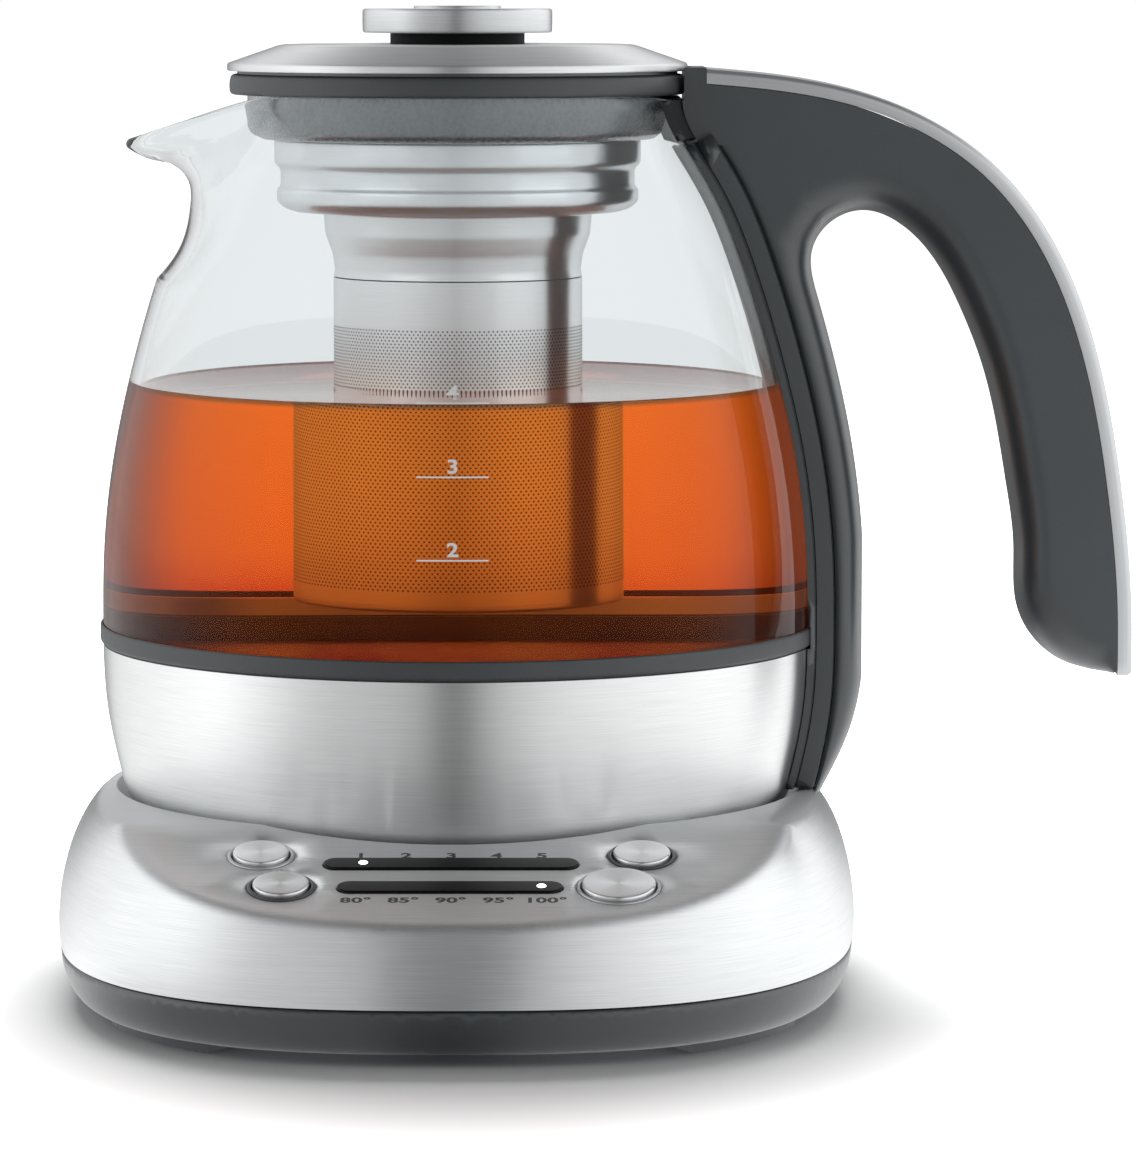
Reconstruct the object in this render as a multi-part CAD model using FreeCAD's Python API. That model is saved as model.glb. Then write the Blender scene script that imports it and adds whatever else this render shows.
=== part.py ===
"""Glass tea maker on a powered base, built as separate solids in millimetres.

Frame: +Z up, origin on the kettle's axis at the surface it stands on.
+X points to the handle, -X to the spout and -Y to the control panel.

The kettle (glass jug, steel band, heater, handle) lifts off the base along +Z.
The tea basket hangs in the jug's neck and lifts out of it along +Z.
The lid sits on the basket's collar, and each of the four buttons slides into the panel.

Sizes are named once in the next section. Everything that fits another piece is worked
out from the same value and a named clearance.
"""
import FreeCAD, Part
import os
import math
from FreeCAD import Vector

os.makedirs("parts", exist_ok=True)

# ---------------------------------------------------------------- clearances and sheet
SLIDE_GAP = 0.4          # between faces that pass each other when a piece lifts out
JOINT_GAP = 0.15         # between fixed pieces whose curved faces lie against each other
SEAT_GAP = 0.05          # under pieces that simply rest on a flat face
COVER_SHEET = 1.5        # steel of the base cover
BAND_SHEET = 1.0         # steel of the kettle's band
BASKET_SHEET = 0.6       # steel of the tea basket
TRAY_WALL = 2.2          # moulded plastic of the tray

# ---------------------------------------------------------------- heights of the base
FOOT_HEIGHT = 2.5
TRAY_HEIGHT = 9.4            # from the feet to the seam under the steel cover
SEAM_GAP = 0.4
WIDEST_RISE = 4.1            # from the seam to the widest outline
SHOULDER_RISE = 25.0         # from the widest outline to the top
RECESS_DEPTH = 11.0          # from the top down to the floor that the kettle rests on
SEAM_Z = FOOT_HEIGHT + TRAY_HEIGHT
WIDEST_Z = SEAM_Z + WIDEST_RISE
BASE_TOP_Z = WIDEST_Z + SHOULDER_RISE
SEAT_Z = BASE_TOP_Z - RECESS_DEPTH

# ---------------------------------------------------------------- kettle's side
FLOOR_RISE = 4.5             # the steel band starts this far above the seat
KETTLE_FOOT_Z = SEAT_Z + FLOOR_RISE
KETTLE_HEIGHT = 152.0        # from the band's foot to the glass rim
WIDEST_HEIGHT = 39.5         # from the band's foot to the widest place
KETTLE_FOOT_RADIUS = 66.3
KETTLE_RADIUS = 75.2
RIM_RADIUS = 46.9
# the curve between those sizes: share of the height, share of the change of radius
LOWER_SHAPE = ((0.1215, 0.416), (0.271, 0.629), (0.481, 0.831), (0.7215, 0.966))
UPPER_SHAPE = ((0.151, 0.989), (0.332, 0.908), (0.513, 0.749), (0.693, 0.534), (0.829, 0.307),
               (0.910, 0.117), (0.960, 0.025))
SIDE_STEP = 5.0              # height between the points that a wall is drawn through
GLASS_TOP_Z = KETTLE_FOOT_Z + KETTLE_HEIGHT

# ---------------------------------------------------------------- kettle's band, floor and heater
BAND_HEIGHT = 36.9
RING_HEIGHT = 4.4            # dark ring between the band and the glass
RING_PROUD = 0.6
GLASS_WALL = 2.4
GLASS_LIFT = 1.6             # glass above the band's top, seated in the dark ring
HEATER_DEPTH = 5.4           # the dish of the heater plate, below the band's top
HEATER_SHEET = 1.2
SPREADER_THICKNESS = 3.5
SPREADER_MARGIN = 16.0       # from the heater plate's flat to the aluminium disc
ELEMENT_TUBE = 4.4
ELEMENT_SETBACK = 14.0       # from the edge of the aluminium disc to the element's ring
ELEMENT_ANGLE = 320.0
FLOOR_SETBACK = 5.8          # from the band's foot to the flat that stands on the seat
FLOOR_SHEET = 2.6            # plastic underside
FLOOR_WALL = 2.0             # its wall round the power boss
FLOOR_WALL_RISE = 3.2        # that wall above the boss
FLOOR_BORE_GAP = 1.6         # between it and the boss
FLOOR_LIP_HEIGHT = 2.2       # its lip inside the band's foot
FLOOR_LIP_WIDTH = 1.8
FLOOR_SWEEP_WIDTH = 3.2      # the first slope outside the flat
FLOOR_SWEEP_RISE = 1.4
CONNECTOR_LIFT = 1.4         # the kettle's plug above the boss
CONNECTOR_SKIRT = 3.3        # top of the plug's narrow part, above the boss
CONNECTOR_TOP = 6.5          # top of the plug, above the boss
CONNECTOR_OVERHANG = 3.2     # the plug's wide part beyond the boss
BAND_TOP_Z = KETTLE_FOOT_Z + BAND_HEIGHT
RING_TOP_Z = BAND_TOP_Z + RING_HEIGHT
GLASS_BOTTOM_Z = BAND_TOP_Z + GLASS_LIFT
HEATER_FLOOR_Z = BAND_TOP_Z - HEATER_DEPTH

# ---------------------------------------------------------------- base, seen from above
SIDE_MARGIN = 5.9            # flat top beyond the kettle where it enters the recess, left and right
BACK_MARGIN = 4.6
FRONT_MARGIN = 33.0          # the same in front, with the sloping panel in it
PLAN_CENTRE_Y = -5.0
FRONT_SQUARENESS = 2.67      # superellipse exponents: 2 is an ellipse, more is squarer
BACK_SQUARENESS = 2.1
PLAN_STEPS = 32
SHOULDER_WIDTH = 13.7        # the cover's shoulder is a quarter of an ellipse
SHOULDER_OVERRUN = 2.0       # the ellipse ends this far above the flat top
TRAY_TURN_IN = 5.4           # how far the tray's wall curves in at its foot
LIP_THICKNESS = 1.8          # the tray's lip that stands inside the cover

FOOT_SETBACK = 2.9           # from the tray's foot to the pads
FOOT_WIDTH = 9.0
FOOT_SPAN = 22.0             # degrees round the plan's centre
FOOT_ANGLES = (-50.0, -130.0, 48.0, 132.0)
FRONT_SCREW_X = 46.0
FRONT_SCREW_Y = -60.0
BACK_SCREW_X = 44.0
BACK_SCREW_Y = 34.0
SCREW_RADIUS = 1.9
SCREW_HEAD_RADIUS = 3.3
SCREW_HEAD_HEIGHT = 1.6

# ---------------------------------------------------------------- inside the tray
SCREW_BOSS_WALL = 1.2        # plastic round the screw heads
SCREW_BOSS_DROP = 4.5        # from the underside of the recess to the bosses
SCREW_LENGTH_LEFT = 2.0      # hole beyond the screw's end
POWER_BOARD_RISE = 4.3       # above the tray's floor
POWER_BOARD_HALF_WIDTH = 30.0
POWER_BOARD_LENGTH = 44.0
POWER_BOARD_SETBACK = 22.0   # from the base's back
RELAY_HEIGHT = 13.0
CHOKE_RADIUS = 7.0
POST_RADIUS = 2.4
POST_INSET = 3.4             # from the board's edges to its posts
LIP_GAP = 0.35               # from the cover's inside to the tray's lip
INLET_HALF_WIDTH = 4.3
INLET_GAP = 0.2
INLET_DEPTH = 5.6
INLET_SETBACK = 1.6          # from the widest outline to the bush's outer face
CORD_HOLE_RADIUS = 2.6
TRAY_FLOOR_Z = FOOT_HEIGHT + TRAY_WALL
SCREW_BOSS_TOP_Z = SEAT_Z - COVER_SHEET - SCREW_BOSS_DROP
POWER_BOARD_Z = TRAY_FLOOR_Z + POWER_BOARD_RISE

# ---------------------------------------------------------------- control panel
PANEL_TILT = 15.0
CREASE_SETBACK = 1.4         # from the widest outline to the panel's front edge, before rounding
CREASE_DROP = 12.6           # from the base's top to the panel's front edge
CREASE_ROUNDING = 4.0
CREASE_Z = BASE_TOP_Z - CREASE_DROP
UPPER_ROW = 32.9             # distances up the slope from the front edge
LOWER_ROW = 17.9
UPPER_WINDOW_ROW = 28.9
LOWER_WINDOW_ROW = 17.7
UPPER_BUTTON_X = 37.9
LOWER_BUTTON_X = 33.2
WINDOW_WIDTH = 5.2
UPPER_WINDOW_LENGTH = 50.8
LOWER_WINDOW_LENGTH = 44.6
WINDOW_DEPTH = 2.6
WINDOW_PROUD = 0.5
WINDOW_ROUNDING = 0.4
LAMP_COUNT = 5
UPPER_LAMP_PITCH = 8.7
LOWER_LAMP_PITCH = 9.0
LAMP_RADIUS = 1.3
BUTTON_TRAVEL = 0.8
BUTTON_PROUD = 1.3
BUTTON_SKIRT = 3.0           # the cap's side below the panel
BUTTON_GAP = 0.3
STEM_RADIUS = 1.6
BEZEL_PROUD = 0.35
BEZEL_DEPTH = 4.0
BEZEL_FLANGE = 0.6           # width and height of the step that seats in the cover
BOARD_DEPTH = 10.5           # top of the control board below the panel's outer face
BOARD_THICKNESS = 1.6
BOARD_MARGIN = 2.0           # board beyond the outermost switches
SWITCH_SIZE = 6.0
SWITCH_HEIGHT = 2.4
PLUNGER_HEIGHT = 1.0
PLUNGER_RADIUS = 1.7

# name, x on the panel, distance up the slope, button radius, bezel radius
BUTTONS = (
    ("steep", -UPPER_BUTTON_X, UPPER_ROW, 5.6, 6.7),
    ("heat", -LOWER_BUTTON_X, LOWER_ROW, 5.6, 6.7),
    ("timer", UPPER_BUTTON_X, UPPER_ROW, 5.7, 6.7),
    ("start", LOWER_BUTTON_X, LOWER_ROW, 7.3, 8.3),
)

# ---------------------------------------------------------------- recess and connector
WAIST_GAP = 1.7              # round the kettle where the recess wall turns into a cone
WAIST_DROP = 3.6             # from the base's top down to that place
CONE_FLARE = 2.0             # the cone's widening from there to the top
RIM_ROUNDING = 0.7
PLATE_RADIUS = 34.0          # the plastic centre of the recess floor
PLATE_THICKNESS = 3.0
PLATE_LEDGE = 2.2            # its edge under the steel
BOSS_RADIUS = 16.8
BOSS_HEIGHT = 6.2
BOSS_CHAMFER = 0.9
PIN_RADIUS = 2.8
SLEEVE_WALL = 1.3
CONTACT_RING_RADIUS = 10.0
CONTACT_WIDTH = 2.0

# ---------------------------------------------------------------- spout, measured from the glass rim
SPOUT_REACH = 22.9           # tip beyond the rim
TIP_DROP = 11.6              # tip below the rim
TIP_FLOOR_DROP = 13.7        # underside at the tip
ROOT_FLOOR_DROP = 17.9       # underside at the root
TIP_HALF_WIDTH = 6.0
ROOT_HALF_WIDTH = 25.0
ROOT_INSET = 6.9             # the root starts inside the rim
SPOUT_WALL = 2.2
CHANNEL_OVERLAP = 6.0        # the spout's channel starts this far inside its root

# ---------------------------------------------------------------- handle
# its outer edge, as (distance out, height) from the glass rim
HANDLE_SPINE = ((3.1, 5.8), (23.8, 3.7), (43.9, -1.4), (64.9, -14.1), (79.9, -34.5),
                (88.0, -57.4), (92.6, -82.8), (94.9, -108.2), (95.0, -118.5))
GRIP_END_DROP = 121.5        # free end below the rim
GRIP_DEPTH = 23.3            # outer edge of the trim to the face the fingers hold
HANDLE_HALF_WIDTH = 13.0
HANDLE_ROUNDING = 4.5
TRIM_THICKNESS = 3.2
TRIM_HALF_WIDTH = 12.6
TRIM_START = 5.1             # beyond the rim
TRIM_ROUNDING = 1.6
COLUMN_DEPTH = 10.8          # how far the column stands off the kettle's side
COLUMN_TAPER_HEIGHT = 26.0   # its foot narrows over this height
COLUMN_LIFT = 0.6            # foot above the base's top
COLUMN_TOP_DROP = 10.5
GAP_TOP_DROP = 24.3
GAP_TOP_RADIUS = 11.3
BRACKET_THICKNESS = 1.35
BRACKET_HALF_WIDTH = 17.5
STRAP_THICKNESS = 3.35
STRAP_HALF_WIDTH = 15.2
CLIP_HEIGHT = 8.5
CLIP_DROP = 1.0
CLIP_HALF_WIDTH = 20.0
COLUMN_FOOT_Z = BASE_TOP_Z + COLUMN_LIFT
COLUMN_TOP_Z = GLASS_TOP_Z - COLUMN_TOP_DROP
CLIP_TOP_Z = GLASS_TOP_Z - CLIP_DROP
GRIP_END_Z = GLASS_TOP_Z - GRIP_END_DROP
BRACKET_OUTER = JOINT_GAP + BRACKET_THICKNESS
STRAP_OUTER = BRACKET_OUTER + JOINT_GAP + STRAP_THICKNESS

# ---------------------------------------------------------------- basket
COLLAR_OVERHANG = 1.0        # beyond the glass rim
COLLAR_WALL = 4.7
COLLAR_DEPTH = 9.6           # below the glass rim
COLLAR_RISE = 4.35           # above it
CUP_GAP = 0.9                # cup's outside to the collar's bore
CUP_HEIGHT = 14.9
NECK_HEIGHT = 14.2
NECK_FLARE = 1.7             # neck's radius beyond the tube's
TUBE_RADIUS = 26.2
BASKET_CLEARANCE = 14.8      # basket's floor above the heater plate's dish
CUP_SHEET = 0.9
COLLAR_RADIUS = RIM_RADIUS + COLLAR_OVERHANG
COLLAR_TOP_Z = GLASS_TOP_Z + COLLAR_RISE
COLLAR_BOTTOM_Z = GLASS_TOP_Z - COLLAR_DEPTH
COLLAR_BORE = RIM_RADIUS - GLASS_WALL - SLIDE_GAP - COLLAR_WALL
CUP_RADIUS = COLLAR_BORE - CUP_GAP
CUP_BOTTOM_Z = COLLAR_BOTTOM_Z - CUP_HEIGHT
TUBE_BOTTOM_Z = HEATER_FLOOR_Z + BASKET_CLEARANCE
BASKET_FLOOR_THICKNESS = 1.2

# ---------------------------------------------------------------- lid
LID_OVERHANG = 0.4           # beyond the collar
LID_RIM_GAP = 0.65           # under the lid's edge
LID_EDGE_HEIGHT = 1.6
LID_HEIGHT = 5.5
LID_SLOPE = 11.3             # from the flat to the edge
LID_SHEET = 1.1
PLUG_DEPTH = 4.6             # lid's inner cover below the collar's top
PLUG_SHEET = 1.4
HUB_RADIUS = 6.0             # round the knob's screw
KNOB_RADIUS = 19.9
KNOB_UNDERCUT = 5.8
KNOB_NECK_HEIGHT = 2.4
KNOB_THICKNESS = 5.0
INLAY_RADIUS = 9.1
INLAY_HEIGHT = 0.6
LID_RADIUS = COLLAR_RADIUS + LID_OVERHANG
LID_RIM_Z = COLLAR_TOP_Z + LID_RIM_GAP
LID_TOP_Z = LID_RIM_Z + LID_HEIGHT
LID_FLAT_RADIUS = LID_RADIUS - LID_SLOPE
KNOB_BOTTOM_Z = LID_TOP_Z + KNOB_NECK_HEIGHT
KNOB_TOP_Z = KNOB_BOTTOM_Z + KNOB_THICKNESS
PLUG_RADIUS = COLLAR_BORE - SLIDE_GAP - BASKET_SHEET
SCREW_HOLE = SCREW_RADIUS + JOINT_GAP


# ================================================================ helpers
NEAR = 0.02


def spline(points):
    """A smooth curve through the points."""
    curve = Part.BSplineCurve()
    curve.interpolate(points)
    return curve


def outline(*runs):
    """A closed wire through runs of points: two points make a line, more a smooth curve."""
    edges = []
    for run in runs:
        if len(run) == 2:
            edges.append(Part.makeLine(run[0], run[1]))
        else:
            edges.append(spline(run).toShape())
    start = runs[0][0]
    end = runs[-1][-1]
    if start.distanceToPoint(end) > NEAR:
        edges.append(Part.makeLine(end, start))
    return Part.Wire(edges)


def section(*pairs):
    """Points in the XZ plane from (radius, height) pairs."""
    return [Vector(x, 0, z) for x, z in pairs]


def turned(wire):
    """The solid swept by a closed wire in the XZ plane turning about the Z axis."""
    return Part.Face(wire).revolve(Vector(0, 0, 0), Vector(0, 0, 1), 360)


def turned_polygon(*pairs):
    points = section(*pairs)
    return turned(Part.makePolygon(points + [points[0]]))


def disc(radius, bottom, top, x=0.0, y=0.0):
    return Part.makeCylinder(radius, top - bottom, Vector(x, y, bottom))


def ring(outer, inner, bottom, top):
    return disc(outer, bottom, top).cut(disc(inner, bottom - 1, top + 1))


def block(x0, x1, y0, y1, z0, z1):
    return Part.makeBox(x1 - x0, y1 - y0, z1 - z0, Vector(x0, y0, z0))


def soften(shape, radius, chosen):
    """Rounds the chosen edges."""
    return shape.makeFillet(radius, [edge for edge in shape.Edges if chosen(edge)])


def samples(edge, count=7):
    first, last = edge.ParameterRange
    return [edge.valueAt(first + (last - first) * i / (count - 1)) for i in range(count)]


def at_height(height):
    """Picks the edges that lie flat at this height."""
    return lambda edge: all(abs(p.z - height) < NEAR for p in samples(edge))


def save(name, shape):
    if shape.ShapeType == "Compound" and len(shape.Solids) == 1:
        shape = shape.Solids[0]
    shape.exportStep("parts/" + name + ".step")
    print(f"{name:22s} solids {len(shape.Solids)} valid {shape.isValid()} {shape.Volume:10.0f}")


# ================================================================ kettle's side
def side_points():
    widest_z = KETTLE_FOOT_Z + WIDEST_HEIGHT
    points = [Vector(KETTLE_FOOT_RADIUS, 0, KETTLE_FOOT_Z)]
    for height, swell in LOWER_SHAPE:
        radius = KETTLE_FOOT_RADIUS + (KETTLE_RADIUS - KETTLE_FOOT_RADIUS) * swell
        points.append(Vector(radius, 0, KETTLE_FOOT_Z + WIDEST_HEIGHT * height))
    points.append(Vector(KETTLE_RADIUS, 0, widest_z))
    for height, swell in UPPER_SHAPE:
        radius = RIM_RADIUS + (KETTLE_RADIUS - RIM_RADIUS) * swell
        points.append(Vector(radius, 0, widest_z + (GLASS_TOP_Z - widest_z) * height))
    points.append(Vector(RIM_RADIUS, 0, GLASS_TOP_Z))
    return points


SIDE_CURVE = spline(side_points())


def side_at(height, offset=0.0):
    """The point of the kettle's side at a height, moved out along the wall's normal."""
    low, high = SIDE_CURVE.FirstParameter, SIDE_CURVE.LastParameter
    for _ in range(40):
        middle = (low + high) / 2
        if SIDE_CURVE.value(middle).z < height:
            low = middle
        else:
            high = middle
    direction = SIDE_CURVE.tangent(low)[0]
    return SIDE_CURVE.value(low) + Vector(direction.z, 0, -direction.x) * offset


def side_run(low, high, offset):
    count = max(4, math.ceil((high - low) / SIDE_STEP) + 1)
    return [side_at(low + (high - low) * i / (count - 1), offset) for i in range(count)]


def wall(low, high, inner, outer):
    """A turned wall that follows the kettle's side between two offsets from it."""
    outside = side_run(low, high, outer)
    inside = side_run(low, high, inner)[::-1]
    return turned(outline(outside, [outside[-1], inside[0]], inside))


def filled(low, high, offset):
    """The solid inside the kettle's side at an offset."""
    run = side_run(low, high, offset)
    bottom = Vector(0, 0, run[0].z)
    top = Vector(0, 0, run[-1].z)
    return turned(outline([bottom, run[0]], run, [run[-1], top]))


def hollowing(low, high, offset):
    """The same solid with straight ends that run on past both heights, to cut an open vessel."""
    run = side_run(low, high, offset)
    foot = Vector(run[0].x, 0, run[0].z - 4 * GLASS_WALL)
    mouth = Vector(run[-1].x, 0, run[-1].z + 4 * GLASS_WALL)
    return turned(outline(
        [Vector(0, 0, foot.z), foot],
        [foot, run[0]],
        run,
        [run[-1], mouth],
        [mouth, Vector(0, 0, mouth.z)],
    ))


# ================================================================ base
def plan_point(angle, inset, height=0.0):
    """A point of the base's outline seen from above, at an angle about the plan's centre."""
    c, s = math.cos(angle), math.sin(angle)
    power = FRONT_SQUARENESS if s < 0 else BACK_SQUARENESS
    depth = (BASE_FRONT_DEPTH if s < 0 else BASE_BACK_DEPTH) - inset
    width = BASE_HALF_WIDTH - inset
    reach = (abs(c / width) ** power + abs(s / depth) ** power) ** (-1 / power)
    return Vector(reach * c, PLAN_CENTRE_Y + reach * s, height)


def plan_wire(inset, height):
    """The base's outline at one height, drawn in by the inset."""
    points = [plan_point(2 * math.pi * i / PLAN_STEPS, inset, height) for i in range(PLAN_STEPS)]
    curve = Part.BSplineCurve()
    curve.interpolate(Points=points, PeriodicFlag=True)
    return Part.Wire([curve.toShape()])


def quarter_ellipse(share):
    """How far a quarter of an ellipse has curved in, 0 to 1, at a share of its height."""
    return 1 - math.sqrt(max(0.0, 1 - share * share))


def shoulder_inset(height):
    """How far the cover's side has curved in at a height; it curves faster under the widest place."""
    rise = (height - WIDEST_Z) / (SHOULDER_RISE + SHOULDER_OVERRUN)
    if rise < 0:
        rise = rise * 1.6
    return SHOULDER_WIDTH * quarter_ellipse(rise)


# ---------------------------------------------------------------- the base's size follows the kettle's side
ENTRY_RADIUS = round(side_at(BASE_TOP_Z - WAIST_DROP).x, 1)
TOP_INSET = round(shoulder_inset(BASE_TOP_Z), 1)
BASE_HALF_WIDTH = ENTRY_RADIUS + SIDE_MARGIN + TOP_INSET
BASE_FRONT_DEPTH = ENTRY_RADIUS + FRONT_MARGIN + TOP_INSET + PLAN_CENTRE_Y
BASE_BACK_DEPTH = ENTRY_RADIUS + BACK_MARGIN + TOP_INSET - PLAN_CENTRE_Y
BACK_Y = PLAN_CENTRE_Y + BASE_BACK_DEPTH
CREASE_Y = PLAN_CENTRE_Y - BASE_FRONT_DEPTH + CREASE_SETBACK
POWER_BOARD_BACK_Y = BACK_Y - POWER_BOARD_SETBACK
POWER_BOARD_FRONT_Y = POWER_BOARD_BACK_Y - POWER_BOARD_LENGTH


def tray_inset(height):
    """How far the tray's side has curved in at a height."""
    drop = 0.96 * (SEAM_Z - height) / TRAY_HEIGHT
    return shoulder_inset(SEAM_Z) + TRAY_TURN_IN * quarter_ellipse(drop)


def between(low, high, shares):
    return [low + (high - low) * share for share in shares]


def skinned(inset_at, heights, extra):
    """A solid through the base's outlines at these heights."""
    return Part.makeLoft([plan_wire(inset_at(z) + extra, z) for z in heights], True, False)


def on_panel(shape, x, up, lift=0.0):
    """Puts a shape, drawn about the origin with +Z outwards, on the panel plane."""
    turn = FreeCAD.Rotation(Vector(1, 0, 0), PANEL_TILT)
    place = Vector(x, CREASE_Y, CREASE_Z) + turn.multVec(Vector(0, up, lift))
    moved = shape.copy()
    moved.Placement = FreeCAD.Placement(place, turn)
    return moved


def cover_form(extra, bottom, top):
    """The closed form of the steel cover, drawn in by an extra thickness all round."""
    heights = [bottom] + between(WIDEST_Z, top, (0.0, 0.16, 0.32, 0.48, 0.60, 0.72, 0.82, 0.91, 1.0))
    body = skinned(shoulder_inset, heights, extra)
    half = 2 * BASE_HALF_WIDTH
    above_panel = on_panel(block(-half, half, -half, half, 0, half), 0, 0, -extra)
    return body.cut(above_panel)


def waist_z():
    return BASE_TOP_Z - WAIST_DROP


def waist_radius():
    return side_at(waist_z()).x + WAIST_GAP


def recess_form(grow):
    """The space the kettle stands in; grown by the sheet, the outside of its steel wall."""
    bottom = SEAT_Z - grow
    start = KETTLE_FOOT_RADIUS - 1.9
    waist = waist_radius()
    rim = waist + CONE_FLARE + grow
    curve = [Vector(start + grow, 0, bottom)]
    for out, up in ((0.39, 0.19), (0.69, 0.52), (1.0, 1.0)):
        curve.append(Vector(start + (waist - start) * out + grow, 0, SEAT_Z + (waist_z() - SEAT_Z) * up))
    above = BASE_TOP_Z + RECESS_DEPTH
    return turned(outline(
        [Vector(0, 0, bottom), curve[0]],
        curve,
        [curve[-1], Vector(rim, 0, BASE_TOP_Z)],
        section((rim, BASE_TOP_Z), (rim, above)),
        section((rim, above), (0, above)),
    ))


def window_block(length, width, bottom, top):
    """A bar with round ends, lying along X."""
    straight = (length - width) / 2
    bar = block(-straight, straight, -width / 2, width / 2, bottom, top)
    ends = [disc(width / 2, bottom, top, side * straight) for side in (-1, 1)]
    return bar.fuse(ends).removeSplitter()


def base_cover():
    """One pressing: rounded sides, a sloping panel and the kettle's recess."""
    normal = FreeCAD.Rotation(Vector(1, 0, 0), PANEL_TILT).multVec(Vector(0, 0, 1))
    corner = Vector(0, CREASE_Y, CREASE_Z)

    def on_crease(edge):
        points = samples(edge)
        flat = all(abs((p - corner).dot(normal)) < NEAR for p in points)
        return flat and min(p.z for p in points) < BASE_TOP_Z - NEAR

    def on_rim(edge):
        points = samples(edge)
        rim = waist_radius() + CONE_FLARE
        inside = all(math.hypot(p.x, p.y) < rim + NEAR for p in points)
        high = all(p.z > waist_z() - CONE_FLARE for p in points)
        waist = all(abs(p.z - waist_z()) < NEAR for p in points)
        return inside and high and not waist and edge.Length > 2 * WAIST_DROP

    form = soften(cover_form(0.0, SEAM_Z, BASE_TOP_Z), CREASE_ROUNDING, on_crease)
    form = soften(form.cut(recess_form(0.0)), RIM_ROUNDING, on_rim)
    inside = cover_form(COVER_SHEET, SEAM_Z - 2, BASE_TOP_Z - COVER_SHEET - RIM_ROUNDING)
    tools = [inside.cut(recess_form(COVER_SHEET)), disc(PLATE_RADIUS, 0, BASE_TOP_Z)]
    for _, x, up, _, bezel_radius in BUTTONS:
        hole = bezel_radius + JOINT_GAP
        tools.append(on_panel(disc(hole - BEZEL_FLANGE, -BEZEL_DEPTH, BEZEL_DEPTH), x, up))
        tools.append(on_panel(disc(hole, -BEZEL_FLANGE, BEZEL_DEPTH), x, up))
    for length, up in ((UPPER_WINDOW_LENGTH, UPPER_WINDOW_ROW), (LOWER_WINDOW_LENGTH, LOWER_WINDOW_ROW)):
        slot = window_block(length + 2 * JOINT_GAP, WINDOW_WIDTH + 2 * JOINT_GAP, -BEZEL_DEPTH, BEZEL_DEPTH)
        tools.append(on_panel(slot, 0, up))
    return form.cut(tools)


def screw_places():
    places = []
    for side in (-1, 1):
        places.append((side * FRONT_SCREW_X, FRONT_SCREW_Y))
        places.append((side * BACK_SCREW_X, BACK_SCREW_Y))
    return places


def base_tray():
    """The moulded tray: curved wall, lip, screw bosses, board posts and a notch for the inlet."""
    top = SEAM_Z - SEAM_GAP
    body = skinned(tray_inset, between(FOOT_HEIGHT, top, (0.0, 0.1, 0.26, 0.46, 0.68, 0.88, 1.0)), 0.0)
    hollow = skinned(tray_inset, between(TRAY_FLOOR_Z, SEAM_Z + 1, (0.0, 0.23, 0.48, 0.7, 1.0)), TRAY_WALL)
    lip_inset = shoulder_inset(SEAM_Z) + COVER_SHEET + LIP_GAP
    lip = skinned(lambda z: lip_inset, [SEAM_Z - 3.5, SEAM_Z + 2.5], 0.0)
    lip = lip.cut(skinned(lambda z: lip_inset, [SEAM_Z - 4.5, SEAM_Z + 3.5], LIP_THICKNESS))
    added = [lip]
    holes = []
    for x, y in screw_places():
        added.append(disc(SCREW_HEAD_RADIUS + SCREW_BOSS_WALL, FOOT_HEIGHT + 1, SCREW_BOSS_TOP_Z, x, y))
        holes.append(disc(SCREW_HEAD_RADIUS + 0.3, 0, FOOT_HEIGHT + SCREW_HEAD_HEIGHT + 0.4, x, y))
        holes.append(disc(SCREW_RADIUS + JOINT_GAP, 0, SCREW_BOSS_TOP_Z - SCREW_LENGTH_LEFT, x, y))
    for side in (-1, 1):
        for y in (POWER_BOARD_FRONT_Y + POST_INSET, POWER_BOARD_BACK_Y - POST_INSET):
            x = side * (POWER_BOARD_HALF_WIDTH - POST_INSET)
            added.append(disc(POST_RADIUS, TRAY_FLOOR_Z - 0.5, POWER_BOARD_Z, x, y))
    notch = INLET_HALF_WIDTH + INLET_GAP
    holes.append(block(-notch, notch, BACK_Y - 13, BACK_Y + 3, TRAY_FLOOR_Z, SEAM_Z))
    return body.cut(hollow).fuse(added).cut(holes).removeSplitter()


def foot_pad(middle):
    """One rubber pad that follows the tray's outline, centred at an angle in degrees."""
    inset = tray_inset(FOOT_HEIGHT) + FOOT_SETBACK
    outer, inner = [], []
    for share in (-0.5, -0.25, 0.0, 0.25, 0.5):
        angle = math.radians(middle + FOOT_SPAN * share)
        outer.append(plan_point(angle, inset))
        inner.append(plan_point(angle, inset + FOOT_WIDTH))
    wire = outline(outer, [outer[-1], inner[-1]], inner[::-1])
    return Part.Face(wire).extrude(Vector(0, 0, FOOT_HEIGHT))


def base_feet():
    return Part.makeCompound([foot_pad(middle) for middle in FOOT_ANGLES])


def base_screws():
    screws = []
    head_z = FOOT_HEIGHT + 0.4
    for x, y in screw_places():
        shank = disc(SCREW_RADIUS, head_z + SCREW_HEAD_HEIGHT, SCREW_BOSS_TOP_Z - 2 * SCREW_LENGTH_LEFT, x, y)
        head = disc(SCREW_HEAD_RADIUS, head_z, head_z + SCREW_HEAD_HEIGHT, x, y)
        slot = block(x - 2.2, x + 2.2, y - 0.4, y + 0.4, head_z, head_z + 0.8)
        screws.append(shank.fuse(head).cut(slot).removeSplitter())
    return Part.makeCompound(screws)


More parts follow.
